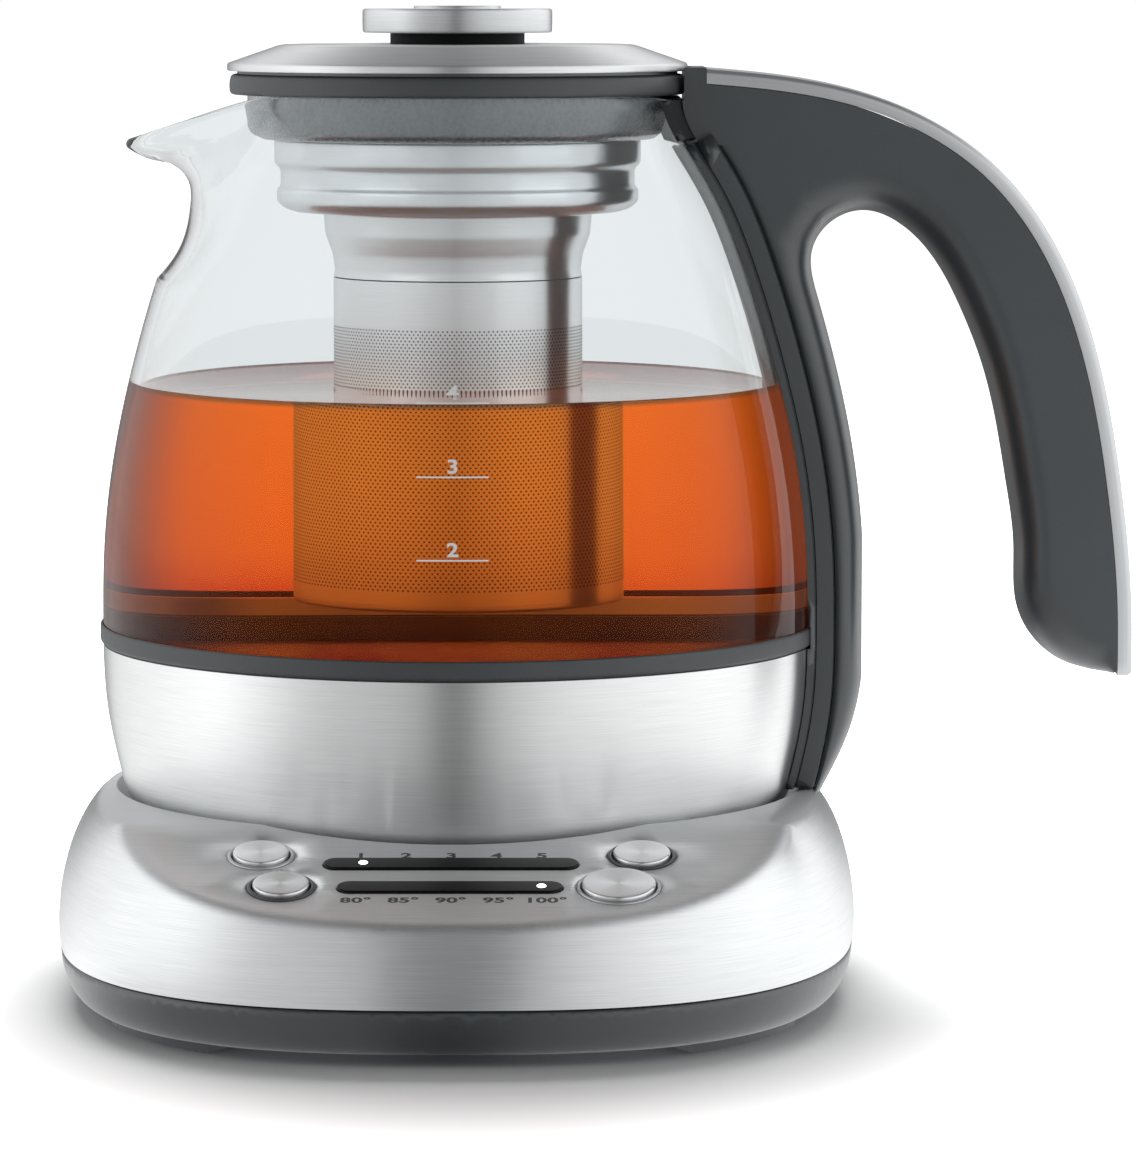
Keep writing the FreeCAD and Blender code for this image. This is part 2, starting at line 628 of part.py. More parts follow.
def seat_plate():
    """The plastic centre of the recess floor with the round power boss."""
    low = SEAT_Z - PLATE_THICKNESS
    ledge = SEAT_Z - COVER_SHEET - SEAT_GAP
    face = SEAT_Z - 0.3
    top = SEAT_Z + BOSS_HEIGHT
    edge = PLATE_RADIUS - JOINT_GAP
    bore = PIN_RADIUS + SLIDE_GAP + SLEEVE_WALL + JOINT_GAP
    plate = turned_polygon(
        (bore, low), (PLATE_RADIUS + PLATE_LEDGE, low), (PLATE_RADIUS + PLATE_LEDGE, ledge),
        (edge, ledge), (edge, face), (BOSS_RADIUS + BOSS_CHAMFER, face), (BOSS_RADIUS, face + BOSS_CHAMFER),
        (BOSS_RADIUS, top - BOSS_CHAMFER), (BOSS_RADIUS - BOSS_CHAMFER, top), (bore, top),
    )
    half = CONTACT_WIDTH / 2 + JOINT_GAP
    return plate.cut(ring(CONTACT_RING_RADIUS + half, CONTACT_RING_RADIUS - half, top - 1.6, top + 1))


def socket_contacts():
    """Brass: a sleeve for the kettle's pin and a flat ring round it."""
    top = SEAT_Z + BOSS_HEIGHT
    bore = PIN_RADIUS + SLIDE_GAP
    sleeve = ring(bore + SLEEVE_WALL, bore, SEAT_Z - PLATE_THICKNESS - 1, top - 0.3)
    half = CONTACT_WIDTH / 2
    flat = ring(CONTACT_RING_RADIUS + half, CONTACT_RING_RADIUS - half, top - 1.6, top - 0.5)
    return Part.makeCompound([sleeve, flat])


def window(length):
    bar = window_block(length, WINDOW_WIDTH, -WINDOW_DEPTH, WINDOW_PROUD)
    return soften(bar, WINDOW_ROUNDING, at_height(WINDOW_PROUD))


def light_guides():
    """Ten short rods between the board and the two windows."""
    rods = []
    for pitch, up in ((UPPER_LAMP_PITCH, UPPER_WINDOW_ROW), (LOWER_LAMP_PITCH, LOWER_WINDOW_ROW)):
        for i in range(LAMP_COUNT):
            x = (i - (LAMP_COUNT - 1) / 2) * pitch
            rods.append(on_panel(disc(LAMP_RADIUS, -BOARD_DEPTH, -WINDOW_DEPTH), x, up))
    return Part.makeCompound(rods)


def bezel(radius, bore):
    """A flanged ring let into the panel round one button."""
    neck = radius - BEZEL_FLANGE
    return turned_polygon(
        (bore, -BEZEL_DEPTH), (neck, -BEZEL_DEPTH), (neck, -BEZEL_FLANGE), (radius, -BEZEL_FLANGE),
        (radius, BEZEL_PROUD - 0.2), (radius - 0.25, BEZEL_PROUD), (bore + 0.15, BEZEL_PROUD),
        (bore, BEZEL_PROUD - 0.15),
    )


def button(radius):
    """A round cap with a slightly dished top on a thin stem."""
    top = BUTTON_PROUD
    cap = turned(outline(
        section((0, -BUTTON_SKIRT), (radius, -BUTTON_SKIRT)),
        section((radius, -BUTTON_SKIRT), (radius, top - 0.5)),
        section((radius, top - 0.5), (radius - 0.15, top - 0.15), (radius - 0.5, top)),
        section((radius - 0.5, top), (radius * 0.5, top - 0.22), (0, top - 0.3)),
    ))
    stem_end = -BOARD_DEPTH + SWITCH_HEIGHT + PLUNGER_HEIGHT + BUTTON_TRAVEL + JOINT_GAP
    return cap.fuse(disc(STEM_RADIUS, stem_end, 0.5 - BUTTON_SKIRT)).removeSplitter()


def control_board():
    edge = SWITCH_SIZE / 2 + BOARD_MARGIN
    half = UPPER_BUTTON_X + edge
    board = block(-half, half, LOWER_ROW - edge, UPPER_ROW + edge, -BOARD_THICKNESS, 0)
    return on_panel(board, 0, 0, -BOARD_DEPTH)


def tact_switches():
    half = SWITCH_SIZE / 2
    body = block(-half, half, -half, half, 0, SWITCH_HEIGHT)
    body = body.fuse(disc(PLUNGER_RADIUS, SWITCH_HEIGHT, SWITCH_HEIGHT + PLUNGER_HEIGHT)).removeSplitter()
    return Part.makeCompound([on_panel(body, x, up, -BOARD_DEPTH) for _, x, up, _, _ in BUTTONS])


def power_board():
    """The mains board on its posts, with a relay and a round choke."""
    top = POWER_BOARD_Z + BOARD_THICKNESS
    half = POWER_BOARD_HALF_WIDTH
    board = block(-half, half, POWER_BOARD_FRONT_Y, POWER_BOARD_BACK_Y, POWER_BOARD_Z, top)
    front = POWER_BOARD_FRONT_Y + 6
    relay = block(6 - half, 25 - half, front, front + 15, top, top + RELAY_HEIGHT)
    choke = disc(CHOKE_RADIUS, top, top + 0.7 * RELAY_HEIGHT, 12, POWER_BOARD_BACK_Y - 3 * CHOKE_RADIUS)
    return board.fuse([relay, choke]).removeSplitter()


def cable_inlet():
    """The bush at the back of the tray where the mains lead enters."""
    low, high = TRAY_FLOOR_Z + INLET_GAP, SEAM_Z - SEAM_GAP
    front = BACK_Y - INLET_SETBACK - INLET_DEPTH
    bush = block(-INLET_HALF_WIDTH, INLET_HALF_WIDTH, front, front + INLET_DEPTH, low, high)
    return bush.cut(Part.makeCylinder(CORD_HOLE_RADIUS, 30, Vector(0, BACK_Y - 20, (low + high) / 2),
                                      Vector(0, 1, 0)))


# ================================================================ kettle
def spout_section(share, wall_thickness):
    """One cross-section of the spout, from its root (0) to its tip (1)."""
    root_x = ROOT_INSET - RIM_RADIUS
    x = root_x - (SPOUT_REACH + ROOT_INSET) * share
    low = GLASS_TOP_Z - ROOT_FLOOR_DROP + (ROOT_FLOOR_DROP - TIP_FLOOR_DROP) * share + wall_thickness
    high = GLASS_TOP_Z + SPOUT_REACH * (0.46 - 0.52 * share)
    half = ROOT_HALF_WIDTH + (TIP_HALF_WIDTH - ROOT_HALF_WIDTH) * share ** 0.85 - wall_thickness
    trough = []
    for i in range(9):
        angle = math.pi * i / 8
        rise = 1 - abs(math.sin(angle)) ** 0.9
        trough.append(Vector(x, half * math.cos(angle), low + (high - low) * 0.62 * rise))
    left, right = Vector(x, -half, high), Vector(x, half, high)
    return outline([left, right], [right, trough[0]], trough)


def spout_form(wall_thickness, reach):
    wires = [spout_section(share * reach, wall_thickness) for share in (0.0, 0.35, 0.7, 1.0)]
    return Part.makeLoft(wires, True, False)


def above_spout_edge():
    """Everything over the spout's sloping top edge."""
    start = -COLLAR_RADIUS - 0.3
    tip = -RIM_RADIUS - SPOUT_REACH
    edge = [Vector(start, 0, GLASS_TOP_Z)]
    for out, down in ((0.36, 0.147), (0.69, 0.42), (0.945, 0.80), (1.03, 1.05)):
        edge.append(Vector(start + (tip - start) * out, 0, GLASS_TOP_Z - TIP_DROP * down))
    far, top = tip - 20, GLASS_TOP_Z + 40
    wire = outline(
        section((ROOT_INSET, GLASS_TOP_Z), (start, GLASS_TOP_Z)),
        edge,
        [edge[-1], Vector(far, 0, edge[-1].z - 4)],
        [Vector(far, 0, edge[-1].z - 4), Vector(far, 0, top)],
        section((far, top), (ROOT_INSET, top)),
    )
    solid = Part.Face(wire).extrude(Vector(0, 4 * ROOT_HALF_WIDTH, 0))
    solid.translate(Vector(0, -2 * ROOT_HALF_WIDTH, 0))
    return solid


def glass_jug():
    """The blown glass, open at both ends, with its pouring spout."""
    root_x = ROOT_INSET - RIM_RADIUS
    side = 2 * RIM_RADIUS
    spout = spout_form(0.0, 1.0).cut(above_spout_edge())
    channel = spout_form(SPOUT_WALL, 0.93).cut(block(root_x + CHANNEL_OVERLAP, side, -side, side, 0, 2 * GLASS_TOP_Z))
    jug = filled(GLASS_BOTTOM_Z, GLASS_TOP_Z, 0.0).fuse(spout)
    jug = jug.cut(hollowing(GLASS_BOTTOM_Z, GLASS_TOP_Z, -GLASS_WALL))
    return jug.cut(channel).cut(above_spout_edge()).removeSplitter()


def glass_ring():
    """The dark ring that seals the glass to the band."""
    glass = side_at(GLASS_BOTTOM_Z).x
    bottom = BAND_TOP_Z + 0.1
    seat = GLASS_BOTTOM_Z - 0.1
    inside = glass - GLASS_WALL - JOINT_GAP
    outer = glass + RING_PROUD
    return turned_polygon(
        (inside - 1.05, bottom), (glass - 0.2, bottom), (outer, bottom + 0.7), (outer, RING_TOP_Z - 0.5),
        (outer - 0.4, RING_TOP_Z), (glass + JOINT_GAP, RING_TOP_Z), (glass + JOINT_GAP, seat),
        (inside, seat), (inside, RING_TOP_Z - 1.0), (inside - 1.05, RING_TOP_Z - 1.0),
    )


def jug_band():
    return wall(KETTLE_FOOT_Z, BAND_TOP_Z, -BAND_SHEET, 0.0)


def heater_plate():
    """The dished steel plate that is the kettle's bottom."""
    rim = side_at(BAND_TOP_Z, -BAND_SHEET).x - JOINT_GAP
    low, thick, top = HEATER_FLOOR_Z, HEATER_SHEET, BAND_TOP_Z
    return turned_polygon(
        (0, low), (rim - 8.0, low), (rim - 4.2, top - thick), (rim, top - thick),
        (rim, top), (rim - 4.9, top), (rim - 8.6, low + thick), (0, low + thick),
    )


def spreader_radius():
    return side_at(BAND_TOP_Z, -BAND_SHEET).x - SPREADER_MARGIN


def heat_spreader():
    top = HEATER_FLOOR_Z - SEAT_GAP
    return disc(spreader_radius(), top - SPREADER_THICKNESS, top)


def under_spreader():
    return HEATER_FLOOR_Z - 2 * SEAT_GAP - SPREADER_THICKNESS


def heating_element():
    """A tube bent into an open ring, with its two cold ends turned down."""
    height = under_spreader() - ELEMENT_TUBE
    radius = spreader_radius() - ELEMENT_SETBACK
    circle = Part.makeCircle(ELEMENT_TUBE, Vector(radius, 0, height), Vector(0, 1, 0))
    tube = Part.Face(Part.Wire([circle])).revolve(Vector(0, 0, 0), Vector(0, 0, 1), ELEMENT_ANGLE)
    ends = []
    for angle in (0.0, math.radians(ELEMENT_ANGLE)):
        x, y = radius * math.cos(angle), radius * math.sin(angle)
        ends.append(disc(ELEMENT_TUBE / 2, height - 10, height - 1, x, y))
    return tube.fuse(ends).removeSplitter()


def temperature_sensor():
    top = under_spreader()
    return disc(5, top - 9.3, top).fuse(disc(2, top - 13.3, top - 9)).removeSplitter()


def jug_floor():
    """The plastic underside of the kettle, hollow round the power boss."""
    low = SEAT_Z + SEAT_GAP
    flat = KETTLE_FOOT_RADIUS - FLOOR_SETBACK
    edge = side_at(KETTLE_FOOT_Z, -BAND_SHEET).x - JOINT_GAP
    under = KETTLE_FOOT_Z - 0.2
    bore = BOSS_RADIUS + FLOOR_BORE_GAP
    top = low + BOSS_HEIGHT + FLOOR_WALL_RISE
    lip = under + FLOOR_LIP_HEIGHT
    return turned_polygon(
        (bore, low), (flat, low), (flat + FLOOR_SWEEP_WIDTH, low + FLOOR_SWEEP_RISE),
        (KETTLE_FOOT_RADIUS - 0.4, under), (edge, under), (edge, lip), (edge - FLOOR_LIP_WIDTH, lip),
        (flat + 0.5, low + FLOOR_SHEET), (bore + FLOOR_WALL, low + FLOOR_SHEET),
        (bore + FLOOR_WALL, top), (bore, top),
    )


def jug_connector():
    """The round plug inside the floor that takes the boss at any turn."""
    low = SEAT_Z + SEAT_GAP + BOSS_HEIGHT
    bore = PIN_RADIUS + 0.1
    skirt = CONTACT_RING_RADIUS - CONTACT_WIDTH / 2 - JOINT_GAP
    bottom, step, top = low + CONNECTOR_LIFT, low + CONNECTOR_SKIRT, low + CONNECTOR_TOP
    wide = BOSS_RADIUS + CONNECTOR_OVERHANG
    return turned_polygon(
        (bore, bottom), (skirt, bottom), (skirt, step), (wide, step), (wide, top), (bore, top),
    )


def jug_pin():
    low = SEAT_Z + 1.2
    return soften(disc(PIN_RADIUS, low, SEAT_Z + BOSS_HEIGHT + 9), 0.9, at_height(low))


def jug_contact_ring():
    low = SEAT_Z + SEAT_GAP + BOSS_HEIGHT
    half = CONTACT_WIDTH / 2 - 0.1
    return ring(CONTACT_RING_RADIUS + half, CONTACT_RING_RADIUS - half, low + 0.5, low + 3.2)


def on_handle_side(shape, half_width, low=0.0):
    """The part of a shape on the handle's side within a width and above a height."""
    far = 4 * KETTLE_RADIUS
    return shape.common(block(RIM_RADIUS / 2, far, -half_width, half_width, low, 2 * GLASS_TOP_Z))


def handle_bracket():
    """The curved strip on the glass, grooved to pass over the dark ring."""
    strip = wall(KETTLE_FOOT_Z, COLUMN_TOP_Z, JOINT_GAP, BRACKET_OUTER)
    strip = on_handle_side(strip, BRACKET_HALF_WIDTH, COLUMN_FOOT_Z)
    over_ring = side_at(GLASS_BOTTOM_Z).x + RING_PROUD + JOINT_GAP
    return strip.cut(disc(over_ring, BAND_TOP_Z - JOINT_GAP, RING_TOP_Z + JOINT_GAP))


def handle_strap():
    strip = wall(KETTLE_FOOT_Z, COLUMN_TOP_Z, BRACKET_OUTER + JOINT_GAP, STRAP_OUTER)
    return on_handle_side(strip, STRAP_HALF_WIDTH, COLUMN_FOOT_Z)


def neck_clip():
    strip = wall(CLIP_TOP_Z - CLIP_HEIGHT, CLIP_TOP_Z, JOINT_GAP, BRACKET_OUTER)
    return on_handle_side(strip, CLIP_HALF_WIDTH)


SPINE_CURVE = spline([Vector(RIM_RADIUS + out, 0, GLASS_TOP_Z + up) for out, up in HANDLE_SPINE])


def spine_run(inset, first=0.02, last=1.0, count=13):
    """Points along the handle's outer edge, moved in by the inset."""
    low, high = SPINE_CURVE.FirstParameter, SPINE_CURVE.LastParameter
    points = []
    for i in range(count):
        at = low + (high - low) * (first + (last - first) * i / (count - 1))
        direction = SPINE_CURVE.tangent(at)[0]
        points.append(SPINE_CURVE.value(at) + Vector(direction.z, 0, -direction.x) * inset)
    return points


def column_depth(height):
    """The column's depth grows from its foot to the full value."""
    rise = min(1.0, max(0.0, (height - COLUMN_FOOT_Z) / COLUMN_TAPER_HEIGHT))
    least = STRAP_OUTER + 1.2
    return least + (COLUMN_DEPTH - least) * math.sin(rise * math.pi / 2)


def grip_inner_edge():
    """From the free end up the grip, round the top of the gap and down the column."""
    end = RIM_RADIUS + HANDLE_SPINE[-1][0] - TRIM_THICKNESS - JOINT_GAP
    run = section((end, GRIP_END_Z), (end - 7.2, GRIP_END_Z + 0.6), (end - 13.2, GRIP_END_Z + 3.4))
    run += spine_run(GRIP_DEPTH, 0.94, 0.52, 6)
    centre_z = GLASS_TOP_Z - GAP_TOP_DROP - GAP_TOP_RADIUS
    centre_x = side_at(centre_z).x + COLUMN_DEPTH + GAP_TOP_RADIUS + 1.1
    for angle in (50, 90, 130, 165):
        turn = math.radians(angle)
        x = centre_x + GAP_TOP_RADIUS * math.cos(turn)
        run.append(Vector(x, 0, centre_z + GAP_TOP_RADIUS * math.sin(turn)))
    for height in between(centre_z, COLUMN_FOOT_Z, (0.09, 0.25, 0.41, 0.57, 0.72, 0.83, 0.92, 1.0)):
        run.append(side_at(height, column_depth(height)))
    return run


def handle_shell():
    """The hooked grip and its column in one moulding, open at the foot of the grip."""
    inner_edge = grip_inner_edge()
    foot = side_at(inner_edge[-1].z, 0.0)
    top_z = GLASS_TOP_Z + HANDLE_SPINE[0][1]
    start_x = RIM_RADIUS + TRIM_START - JOINT_GAP
    back = spine_run(TRIM_THICKNESS + JOINT_GAP)
    back[0] = Vector(start_x, 0, back[0].z)
    wire = outline(
        inner_edge,
        [inner_edge[-1], foot],
        [foot, Vector(RIM_RADIUS, 0, COLUMN_TOP_Z)],
        section((RIM_RADIUS, COLUMN_TOP_Z), (RIM_RADIUS, top_z)),
        section((RIM_RADIUS, top_z), (start_x, top_z)),
        [Vector(start_x, 0, top_z), back[0]],
        back,
    )
    body = Part.Face(wire).extrude(Vector(0, 2 * HANDLE_HALF_WIDTH, 0))
    body.translate(Vector(0, -HANDLE_HALF_WIDTH, 0))
    length = spline(inner_edge).length()
    body = soften(body, HANDLE_ROUNDING, lambda edge: abs(edge.Length - length) < 0.5)
    body = body.cut([
        disc(LID_RADIUS + 2 * SLIDE_GAP, CLIP_TOP_Z, 2 * GLASS_TOP_Z),
        filled(KETTLE_FOOT_Z, COLUMN_TOP_Z + 0.2, STRAP_OUTER + JOINT_GAP),
        filled(KETTLE_FOOT_Z, GLASS_TOP_Z, BRACKET_OUTER + JOINT_GAP),
    ])
    return on_handle_side(body, 2 * HANDLE_HALF_WIDTH, COLUMN_FOOT_Z)


def handle_trim():
    """The bright strip along the whole back of the handle."""
    outer = spine_run(0.0)
    inner = spine_run(TRIM_THICKNESS)[::-1]
    start_x = RIM_RADIUS + TRIM_START
    outer[0] = Vector(start_x, 0, outer[0].z)
    inner[-1] = Vector(start_x, 0, inner[-1].z)
    tail = Vector(inner[0].x, 0, GRIP_END_Z)
    corner = Vector(outer[-1].x - TRIM_ROUNDING, 0, GRIP_END_Z)
    wire = outline(outer, [outer[-1], corner], [corner, tail], [tail, inner[0]], inner)
    body = Part.Face(wire).extrude(Vector(0, 2 * TRIM_HALF_WIDTH, 0))
    body.translate(Vector(0, -TRIM_HALF_WIDTH, 0))
    length = spline(outer).length()
    return soften(body, TRIM_ROUNDING, lambda edge: abs(edge.Length - length) < 0.5)


# ================================================================ basket
def basket_collar():
    """The soft grey ring that hangs on the glass rim and carries the basket and lid."""
    rest = GLASS_TOP_Z + SEAT_GAP
    plug = COLLAR_BORE + COLLAR_WALL
    ledge = COLLAR_BOTTOM_Z + 1.6
    return turned_polygon(
        (COLLAR_BORE, ledge), (CUP_RADIUS - 1.0, ledge), (CUP_RADIUS - 1.0, COLLAR_BOTTOM_Z),
        (plug - 3.0, COLLAR_BOTTOM_Z), (plug - 1.2, COLLAR_BOTTOM_Z + 1.4), (plug, rest - 3.0), (plug, rest),
        (COLLAR_RADIUS - 1.4, rest), (COLLAR_RADIUS - 0.3, rest + 1.0), (COLLAR_RADIUS, rest + 2.1),
        (COLLAR_RADIUS - 0.4, COLLAR_TOP_Z - 0.9), (COLLAR_RADIUS - 1.6, COLLAR_TOP_Z),
        (COLLAR_BORE, COLLAR_TOP_Z),
    )


def basket_cup():
    """The stepped steel cup under the collar, narrowing to the tube."""
    outside = []
    # steps of the cup: how far in, and the share of the cup's height
    for inset, share in ((0.0, 0.0), (0.0, 0.32), (1.3, 0.40), (1.3, 0.63), (0.5, 0.68), (0.5, 0.85),
                         (2.2, 0.95), (4.5, 1.0)):
        outside.append((CUP_RADIUS - inset, COLLAR_BOTTOM_Z - 0.1 - (CUP_HEIGHT - 0.1) * share))
    # the neck: share of its flare, and the share of its height
    for flare, share in ((1.2, 0.0), (1.0, 0.32), (0.1, 0.62), (-0.2, 0.86), (0.0, 0.97)):
        outside.append((TUBE_RADIUS + NECK_FLARE * flare, CUP_BOTTOM_Z - NECK_HEIGHT * share))
    inside = [(radius - CUP_SHEET, height + 0.4) for radius, height in outside]
    inside[0] = (outside[0][0] - CUP_SHEET, outside[0][1])
    inside[-1] = (outside[-1][0] - CUP_SHEET, outside[-1][1])
    return turned_polygon(*(outside + inside[::-1]))


def basket_tube():
    low = TUBE_BOTTOM_Z + BASKET_FLOOR_THICKNESS + SEAT_GAP
    return ring(TUBE_RADIUS, TUBE_RADIUS - BASKET_SHEET, low, CUP_BOTTOM_Z - NECK_HEIGHT * 0.97 - SEAT_GAP)


def basket_floor():
    body = disc(TUBE_RADIUS, TUBE_BOTTOM_Z, TUBE_BOTTOM_Z + BASKET_FLOOR_THICKNESS)
    return soften(body, 0.9, at_height(TUBE_BOTTOM_Z))


# ================================================================ lid
def lid_cover():
    top, flat = LID_TOP_Z, LID_FLAT_RADIUS
    skirt = LID_RADIUS - LID_SHEET
    return turned_polygon(
        (LID_RADIUS - 0.25, LID_RIM_Z), (LID_RADIUS, LID_RIM_Z + 0.25),
        (LID_RADIUS, LID_RIM_Z + LID_EDGE_HEIGHT), (flat, top), (SCREW_HOLE, top),
        (SCREW_HOLE, top - LID_SHEET), (flat - 0.3, top - LID_SHEET),
        (skirt, LID_RIM_Z + LID_EDGE_HEIGHT - 0.8), (skirt, LID_RIM_Z),
    )


def lid_plug():
    """The inner cover that drops into the collar."""
    rest = COLLAR_TOP_Z + SEAT_GAP
    rim = LID_RADIUS - LID_SHEET - JOINT_GAP
    low = rest - PLUG_DEPTH
    inside = PLUG_RADIUS - PLUG_SHEET
    hub = LID_TOP_Z - LID_SHEET - 0.1
    return turned_polygon(
        (SCREW_HOLE, low), (PLUG_RADIUS - 1.0, low), (PLUG_RADIUS, low + 1.0), (PLUG_RADIUS, rest),
        (rim, rest), (rim, rest + 1.2), (inside, rest + 1.2), (inside, low + PLUG_SHEET),
        (HUB_RADIUS, low + PLUG_SHEET), (HUB_RADIUS, hub), (SCREW_HOLE, hub),
    )


def lid_gasket():
    """A ribbed ring on the plug."""
    inner = PLUG_RADIUS + SEAT_GAP
    low = COLLAR_TOP_Z - 3.2
    return turned_polygon(
        (inner, low), (inner + 0.3, low), (inner + 0.55, low + 0.8), (inner + 0.3, low + 1.5),
        (inner + 0.55, low + 2.3), (inner + 0.2, low + 2.9), (inner, low + 2.9),
    )


def knob_neck():
    outer = KNOB_RADIUS - KNOB_UNDERCUT
    return ring(outer, SCREW_HOLE, LID_TOP_Z, KNOB_BOTTOM_Z)


def lid_knob():
    bore = SCREW_RADIUS + SEAT_GAP
    body = turned_polygon(
        (0, KNOB_BOTTOM_Z), (KNOB_RADIUS - 0.6, KNOB_BOTTOM_Z), (KNOB_RADIUS, KNOB_BOTTOM_Z + 0.6),
        (KNOB_RADIUS, KNOB_TOP_Z - 0.7), (KNOB_RADIUS - 0.7, KNOB_TOP_Z), (0, KNOB_TOP_Z),
    )
    return body.cut(disc(bore, KNOB_BOTTOM_Z - 1, KNOB_TOP_Z - 1.6))


def knob_inlay():
    """The low raised disc in the middle of the knob."""
    top = KNOB_TOP_Z + INLAY_HEIGHT
    return turned_polygon((0, KNOB_TOP_Z), (INLAY_RADIUS, KNOB_TOP_Z), (INLAY_RADIUS - 0.5, top), (0, top))


def lid_screw():
    """The screw that holds the knob from below the lid, with a cross slot."""
    seat = COLLAR_TOP_Z + SEAT_GAP - PLUG_DEPTH
    screw = disc(SCREW_RADIUS, seat, KNOB_TOP_Z - 1.7).fuse(disc(3.8, seat - 2, seat))
    cross = [block(-x, x, -y, y, seat - 2, seat - 0.8) for x, y in ((2.3, 0.5), (0.5, 2.3))]
    return screw.cut(cross).removeSplitter()


# ================================================================ all pieces
save("base_cover", base_cover())
save("base_tray", base_tray())
save("base_feet", base_feet())
save("base_screws", base_screws())
save("seat_plate", seat_plate())
save("socket_contacts", socket_contacts())
save("window_upper", on_panel(window(UPPER_WINDOW_LENGTH), 0, UPPER_WINDOW_ROW))
save("window_lower", on_panel(window(LOWER_WINDOW_LENGTH), 0, LOWER_WINDOW_ROW))
save("light_guides", light_guides())
for name, x, up, radius, bezel_radius in BUTTONS:
    save("bezel_" + name, on_panel(bezel(bezel_radius, radius + BUTTON_GAP), x, up))
    save("button_" + name, on_panel(button(radius), x, up))
save("control_board", control_board())
save("tact_switches", tact_switches())
save("power_board", power_board())
save("cable_inlet", cable_inlet())

save("glass_jug", glass_jug())
save("glass_ring", glass_ring())
save("jug_band", jug_band())
save("heater_plate", heater_plate())
save("heat_spreader", heat_spreader())
save("heating_element", heating_element())
save("temperature_sensor", temperature_sensor())
save("jug_floor", jug_floor())
save("jug_connector", jug_connector())
save("jug_pin", jug_pin())
save("jug_contact_ring", jug_contact_ring())
save("handle_bracket", handle_bracket())
save("handle_strap", handle_strap())
save("handle_shell", handle_shell())
save("handle_trim", handle_trim())
save("neck_clip", neck_clip())

save("basket_collar", basket_collar())
save("basket_cup", basket_cup())
save("basket_tube", basket_tube())
save("basket_floor", basket_floor())

save("lid_cover", lid_cover())
save("lid_plug", lid_plug())
save("lid_gasket", lid_gasket())
save("knob_neck", knob_neck())
save("lid_knob", lid_knob())
save("knob_inlay", knob_inlay())
save("lid_screw", lid_screw())
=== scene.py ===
"""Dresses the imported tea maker: brushed steel base, glass kettle with tea, basket, lid and handle."""

import math

import bmesh
import bpy
import numpy as np
from mathutils import Matrix, Vector


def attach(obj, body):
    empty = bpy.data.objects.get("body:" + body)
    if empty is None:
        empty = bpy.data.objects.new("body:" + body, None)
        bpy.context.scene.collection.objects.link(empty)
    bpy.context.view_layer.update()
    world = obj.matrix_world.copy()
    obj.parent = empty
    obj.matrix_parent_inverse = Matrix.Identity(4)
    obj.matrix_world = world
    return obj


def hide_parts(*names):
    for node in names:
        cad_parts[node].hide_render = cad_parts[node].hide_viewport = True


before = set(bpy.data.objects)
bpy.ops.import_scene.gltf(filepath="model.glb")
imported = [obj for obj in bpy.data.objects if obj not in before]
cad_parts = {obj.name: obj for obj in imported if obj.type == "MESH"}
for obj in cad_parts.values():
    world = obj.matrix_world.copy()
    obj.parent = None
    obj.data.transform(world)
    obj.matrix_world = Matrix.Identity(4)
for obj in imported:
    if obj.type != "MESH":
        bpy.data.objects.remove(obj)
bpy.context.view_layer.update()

MM = 0.001
TURN_STEPS = 192

# ---------- sizes in millimetres, the same as the solids'
SLIDE_GAP = 0.4
JOINT_GAP = 0.15
SEAT_GAP = 0.05

KETTLE_FOOT_Z = 34.5
BAND_TOP_Z = 71.4
GLASS_BOTTOM_Z = 73.0
RING_TOP_Z = 75.8
GLASS_TOP_Z = 186.5
FOOT_RADIUS = 66.3
KETTLE_RADIUS = 75.2
RIM_RADIUS = 46.9
BAND_SHEET = 1.0
GLASS_WALL = 2.4
WIDEST_HEIGHT = 39.5
# the kettle's side below and above its widest place, as shares of the height and of the swell
LOWER_SHAPE = ((0.1215, 0.416), (0.271, 0.629), (0.481, 0.831), (0.7215, 0.966), (1.0, 1.0))
UPPER_SHAPE = ((0.151, 0.989), (0.332, 0.908), (0.513, 0.749), (0.693, 0.534), (0.829, 0.307),
               (0.910, 0.117), (0.960, 0.025), (1.0, 0.0))
NECK_LOW_Z = 148.0
SPOUT_HALF_ANGLE = 34.0
HEATER_FLOOR_Z = 66.0
TEA_Z = 125.8

PANEL_TILT = 15.0
CREASE_Y = -109.0
CREASE_Z = 28.4
# name, place across and up the panel, radius of the button and of its bezel
BUTTONS = (("steep", -37.9, 32.9, 5.6, 6.7), ("heat", -33.2, 17.9, 5.6, 6.7),
           ("timer", 37.9, 32.9, 5.7, 6.7), ("start", 33.2, 17.9, 7.3, 8.3))
BUTTON_STEM_END = -6.15

COLLAR_RADIUS = 47.9
COLLAR_TOP_Z = 190.85
COLLAR_BOTTOM_Z = 176.9
COLLAR_BORE = 39.4
PLUG_RADIUS = 44.1
CUP_RADIUS = 38.5
CUP_BOTTOM_Z = 162.0
TUBE_RADIUS = 26.2
TUBE_BOTTOM_Z = 80.8
TUBE_SHEET = 0.6
NECK_HEIGHT = 14.2
NECK_END = 0.97

LID_RADIUS = 48.3
LID_RIM_Z = 191.5
LID_TOP_Z = 197.0
SCREW_BORE = 2.05
KNOB_RADIUS = 19.9
KNOB_BOTTOM_Z = 199.4
KNOB_TOP_Z = 204.4

